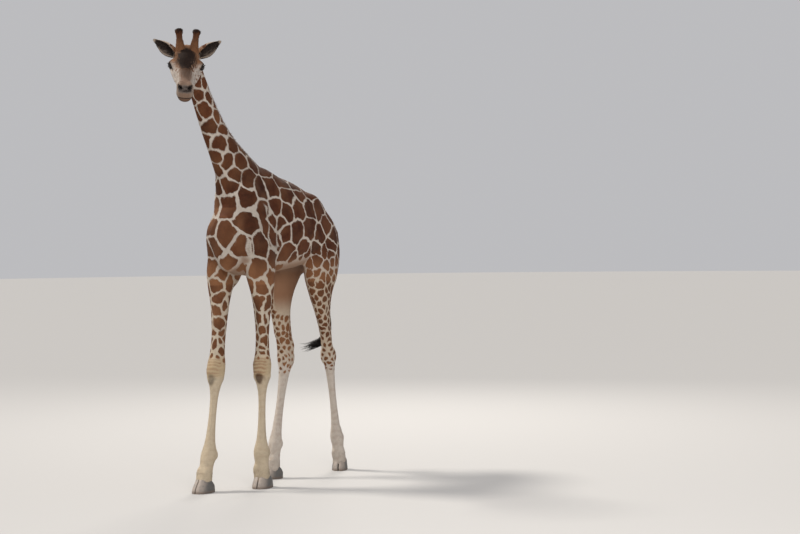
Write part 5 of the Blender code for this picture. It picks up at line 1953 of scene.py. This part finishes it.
def add_eye(side):
    """A ball with a bulging front, its pole along the line of sight."""
    sight, across, high = eye_axes(side)
    axes = Matrix((across, high, sight)).transposed().to_4x4()
    bm = bmesh.new()
    bmesh.ops.create_uvsphere(bm, u_segments=48, v_segments=32, radius=EYE_RADIUS)
    for vert in bm.verts:
        polar = math.acos(max(-1, min(1, vert.co.z / EYE_RADIUS))) / EYE_BULGE_ENDS
        if polar < 1:
            vert.co *= 1 + EYE_BULGE * math.cos(polar * math.pi / 2) ** 2 / EYE_RADIUS
    bmesh.ops.transform(bm, matrix=Matrix.Translation(eye_middle(side)) @ axes, verts=bm.verts)
    return smooth_object("eyeball_" + WORDS[side], bm, eye_material(side))


def add_lashes():
    """Long dark lashes in a row along each upper lid, fewer below."""
    rng = np.random.default_rng(15)
    paths, asides = [], []
    steps = np.linspace(0, 1, 6)[:, None]
    arc = (ALMOND_LONG ** 2 + ALMOND_HIGH ** 2) / (2 * ALMOND_HIGH)
    for side in (-1, 1):
        sight, across, high = (np.array(axis) for axis in eye_axes(side))
        for upper, count, longest, droop in ((1, 90, 0.019, -0.21), (-1, 26, 0.008, -0.15)):
            for share in np.linspace(-0.92, 0.92, count) + rng.normal(0, 0.01, count):
                wide = share * ALMOND_LONG
                tall = upper * (math.sqrt(max(arc ** 2 - wide ** 2, 0)) - (arc - ALMOND_HIGH) + 0.0012)
                root = np.array(on_lid(side, wide, tall, EYE_RADIUS + LID - 0.0022))
                length = longest * (1 - 0.45 * share ** 2) * rng.uniform(0.8, 1.1)
                fan = across * share * 0.5 + 0.08 * rng.normal(size=3)
                paths.append(root + length * ((sight * 0.85 + fan + high * droop) * steps
                                              + high * upper * 0.28 * steps ** 2))
                asides.append(across)
    radius = np.full(len(paths), 0.00045)
    return lock_mesh("lashes", np.array(paths), np.array(asides), radius, DARK_HAIR, {})


eyeballs = {side: add_eye(side) for side in (-1, 1)}
lashes = add_lashes()
print("eyes", round(2 * EYE_RADIUS * 1000), "mm across, with", len(lashes.data.vertices) // 16, "lashes")

# %% [markdown]
# ## Hooves
#
# Each foot stands on two toes in horn shoes. The horn grows from the hairline down and
# leaves fine rings. Each shoe is lofted from one outline that shrinks and leans back
# towards the top, with the rings pressed in and the edge of the sole rounded.

# %% Hooves
HOOF_PLACES = dict(zip(LEGS, ((0.13, -0.318), (-0.13, -0.757), (0.1, 0.846), (-0.1, 0.15))))
HOOF_SIZES = {"fore": (0.079, 0.108, 0.08), "hind": (0.067, 0.094, 0.064)}
SLIT = 0.0055
HOOF_LEVELS = smooth_rows([(0.0, 0.97, 0.0), (0.05, 0.996, 0.001), (0.3, 0.985, 0.006),
                           (0.6, 0.925, 0.018), (0.92, 0.845, 0.033), (1.0, 0.8, 0.036)], 5)


def hoof_outline(toe, heel):
    """One toe's outline from above: straight inside, round outside."""
    front = [(0.0, -1.0), (0.16, -1.0), (0.38, -0.95), (0.62, -0.77), (0.82, -0.52), (0.95, -0.25),
             (1.0, -0.02)]
    back = [(0.985, 0.3), (0.94, 0.6), (0.8, 0.86), (0.58, 0.98), (0.3, 1.02), (0.1, 0.98), (0.0, 0.8)]
    curve = smooth_rows([(x, y * toe) for x, y in front] + [(x, y * heel) for x, y in back], 4)
    inside = [(0.0, y) for y in np.linspace(0.75 * heel, -0.95 * toe, 12)]
    return np.vstack([curve, inside])


def hoof_material():
    """Grey-brown hoof horn with rings, streaks, a pale toe and a dusty edge."""
    mat, shader, place = start_material("hoof_horn")
    height = vector_maths("DOT_PRODUCT", place, (0, 0, 1))
    cloud = noise(place, 30.0, 4.0, 0.6)
    streak = noise(vector_maths("MULTIPLY", place, (1, 1, 0.1)), 420.0)
    colour = mix(cloud, (0.05, 0.05, 0.051), (0.15, 0.142, 0.132))
    colour = mix(ramp(streak, 0.4, 0.75, 0.0, 0.4), colour, (0.2, 0.175, 0.15))
    pale_toe = stored(place.tree, "toe") * ramp(cloud, 0.3, 0.6, 0.55, 0.95)
    colour = mix(pale_toe, colour, (0.4, 0.335, 0.285))
    dust = ramp(height, 0.006, 0.03, 0.75, 0.0) + (cloud - 0.5) * 0.8
    feed(shader["Base Color"], mix(dust, colour, (0.16, 0.115, 0.088)))
    feed(shader["Roughness"], ramp(cloud, 0.3, 0.7, 0.45, 0.75))
    rings = ((height + cloud * 0.006) * 900.0).through("SINE")
    raise_grain(shader, rings * 0.5 + streak, 0.45, 0.0012)
    return mat


HOOF_FINISH = hoof_material()


def add_hoof(leg, inner):
    """One horn shoe; inner is -1 or 1 for the two toes of a foot."""
    half, toe, heel = HOOF_SIZES[leg[0]]
    across, along = hoof_outline(toe, heel).T
    back = rise(along / heel, 0.0, 1.0)
    low_heel = 1 - 0.5 * rise(along / heel, -0.7, 1.0)
    turn = np.array(Matrix.Rotation(FOOT_TURN[leg], 2))
    points = []
    for share, scale, lean in HOOF_LEVELS:
        size = scale * (1 + 0.006 * math.sin(share * 42) * (0.05 < share < 0.95))
        x = inner * (SLIT + (half - SLIT) * across * size)
        y = along * size + lean * (1 - 0.5 * back)
        x, y = turn @ (x, y) + np.array(HOOF_PLACES[leg])[:, None]
        points.append(np.stack([x, y, share * HOOF_TOP * low_heel], 1))
    count = len(across)
    last = count * (len(HOOF_LEVELS) - 1)
    faces = ring_faces(len(HOOF_LEVELS), count) + [range(count)[::-1], range(last, last + count)]
    bm = bmesh_from(np.vstack(points).tolist(), faces)
    bmesh.ops.triangulate(bm, faces=[face for face in bm.faces if len(face.verts) > 4])
    shoe = smooth_object(f"shoe_{leg[0]}_{leg[1]}_{'a' if inner > 0 else 'b'}", bm, HOOF_FINISH)
    wear_layers(shoe, {"toe": np.tile(rise(-along / toe, 0.3, 0.95), len(HOOF_LEVELS))})
    return shoe


shoes = {(*leg, inner): add_hoof(leg, inner) for leg in LEGS for inner in (-1, 1)}
print("hooves:", len(shoes), "horn shoes")

# %% [markdown]
# ## Putting the pieces on the frame
#
# Everything was modelled in drawing coordinates. One slide brings it over the packed
# frame. Each piece then rides on the only body and hides the plain solids it stands for.

# %% Slide, ride, replace
FLESH = ["head", "neck", "trunk", "tail", "ear_left", "ear_right"]
FLESH += [f"{end}leg_{half}_{side}" for end in ("fore", "hind") for half in ("upper", "lower")
          for side in ("left", "right")]


def settle(piece, slot, *nodes):
    """Slide a piece into place, let it ride on the root body, and hide the plain solids it stands for."""
    piece.data.transform(Matrix.Translation(SLIDE))
    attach(piece, "root")
    if nodes:
        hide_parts(*nodes)


settle(skin, "coat", *FLESH)
for piece in coat_pieces:
    settle(piece, "coat")
settle(mane, "mane_hair", "mane")
settle(tail_locks, "dark_hair", "tail_tuft")
settle(lashes, "dark_hair")
for side, word in WORDS.items():
    core, fur = horns[side]
    settle(core, "coat", "horn_" + word)
    settle(fur, "coat")
    settle(eyeballs[side], "eye", "eye_" + word)
for (end, side, inner), shoe in shoes.items():
    settle(shoe, "hoof_horn", f"hoof_{end}_{side}_{'a' if inner > 0 else 'b'}")
print("pieces on the frame:", len(coat_pieces) + 8 + len(shoes))

# %% Sizes, then done
total = sum(len(obj.data.polygons) for obj in bpy.data.objects if obj.type == "MESH" and not obj.hide_render)
print("faces in all:", total)
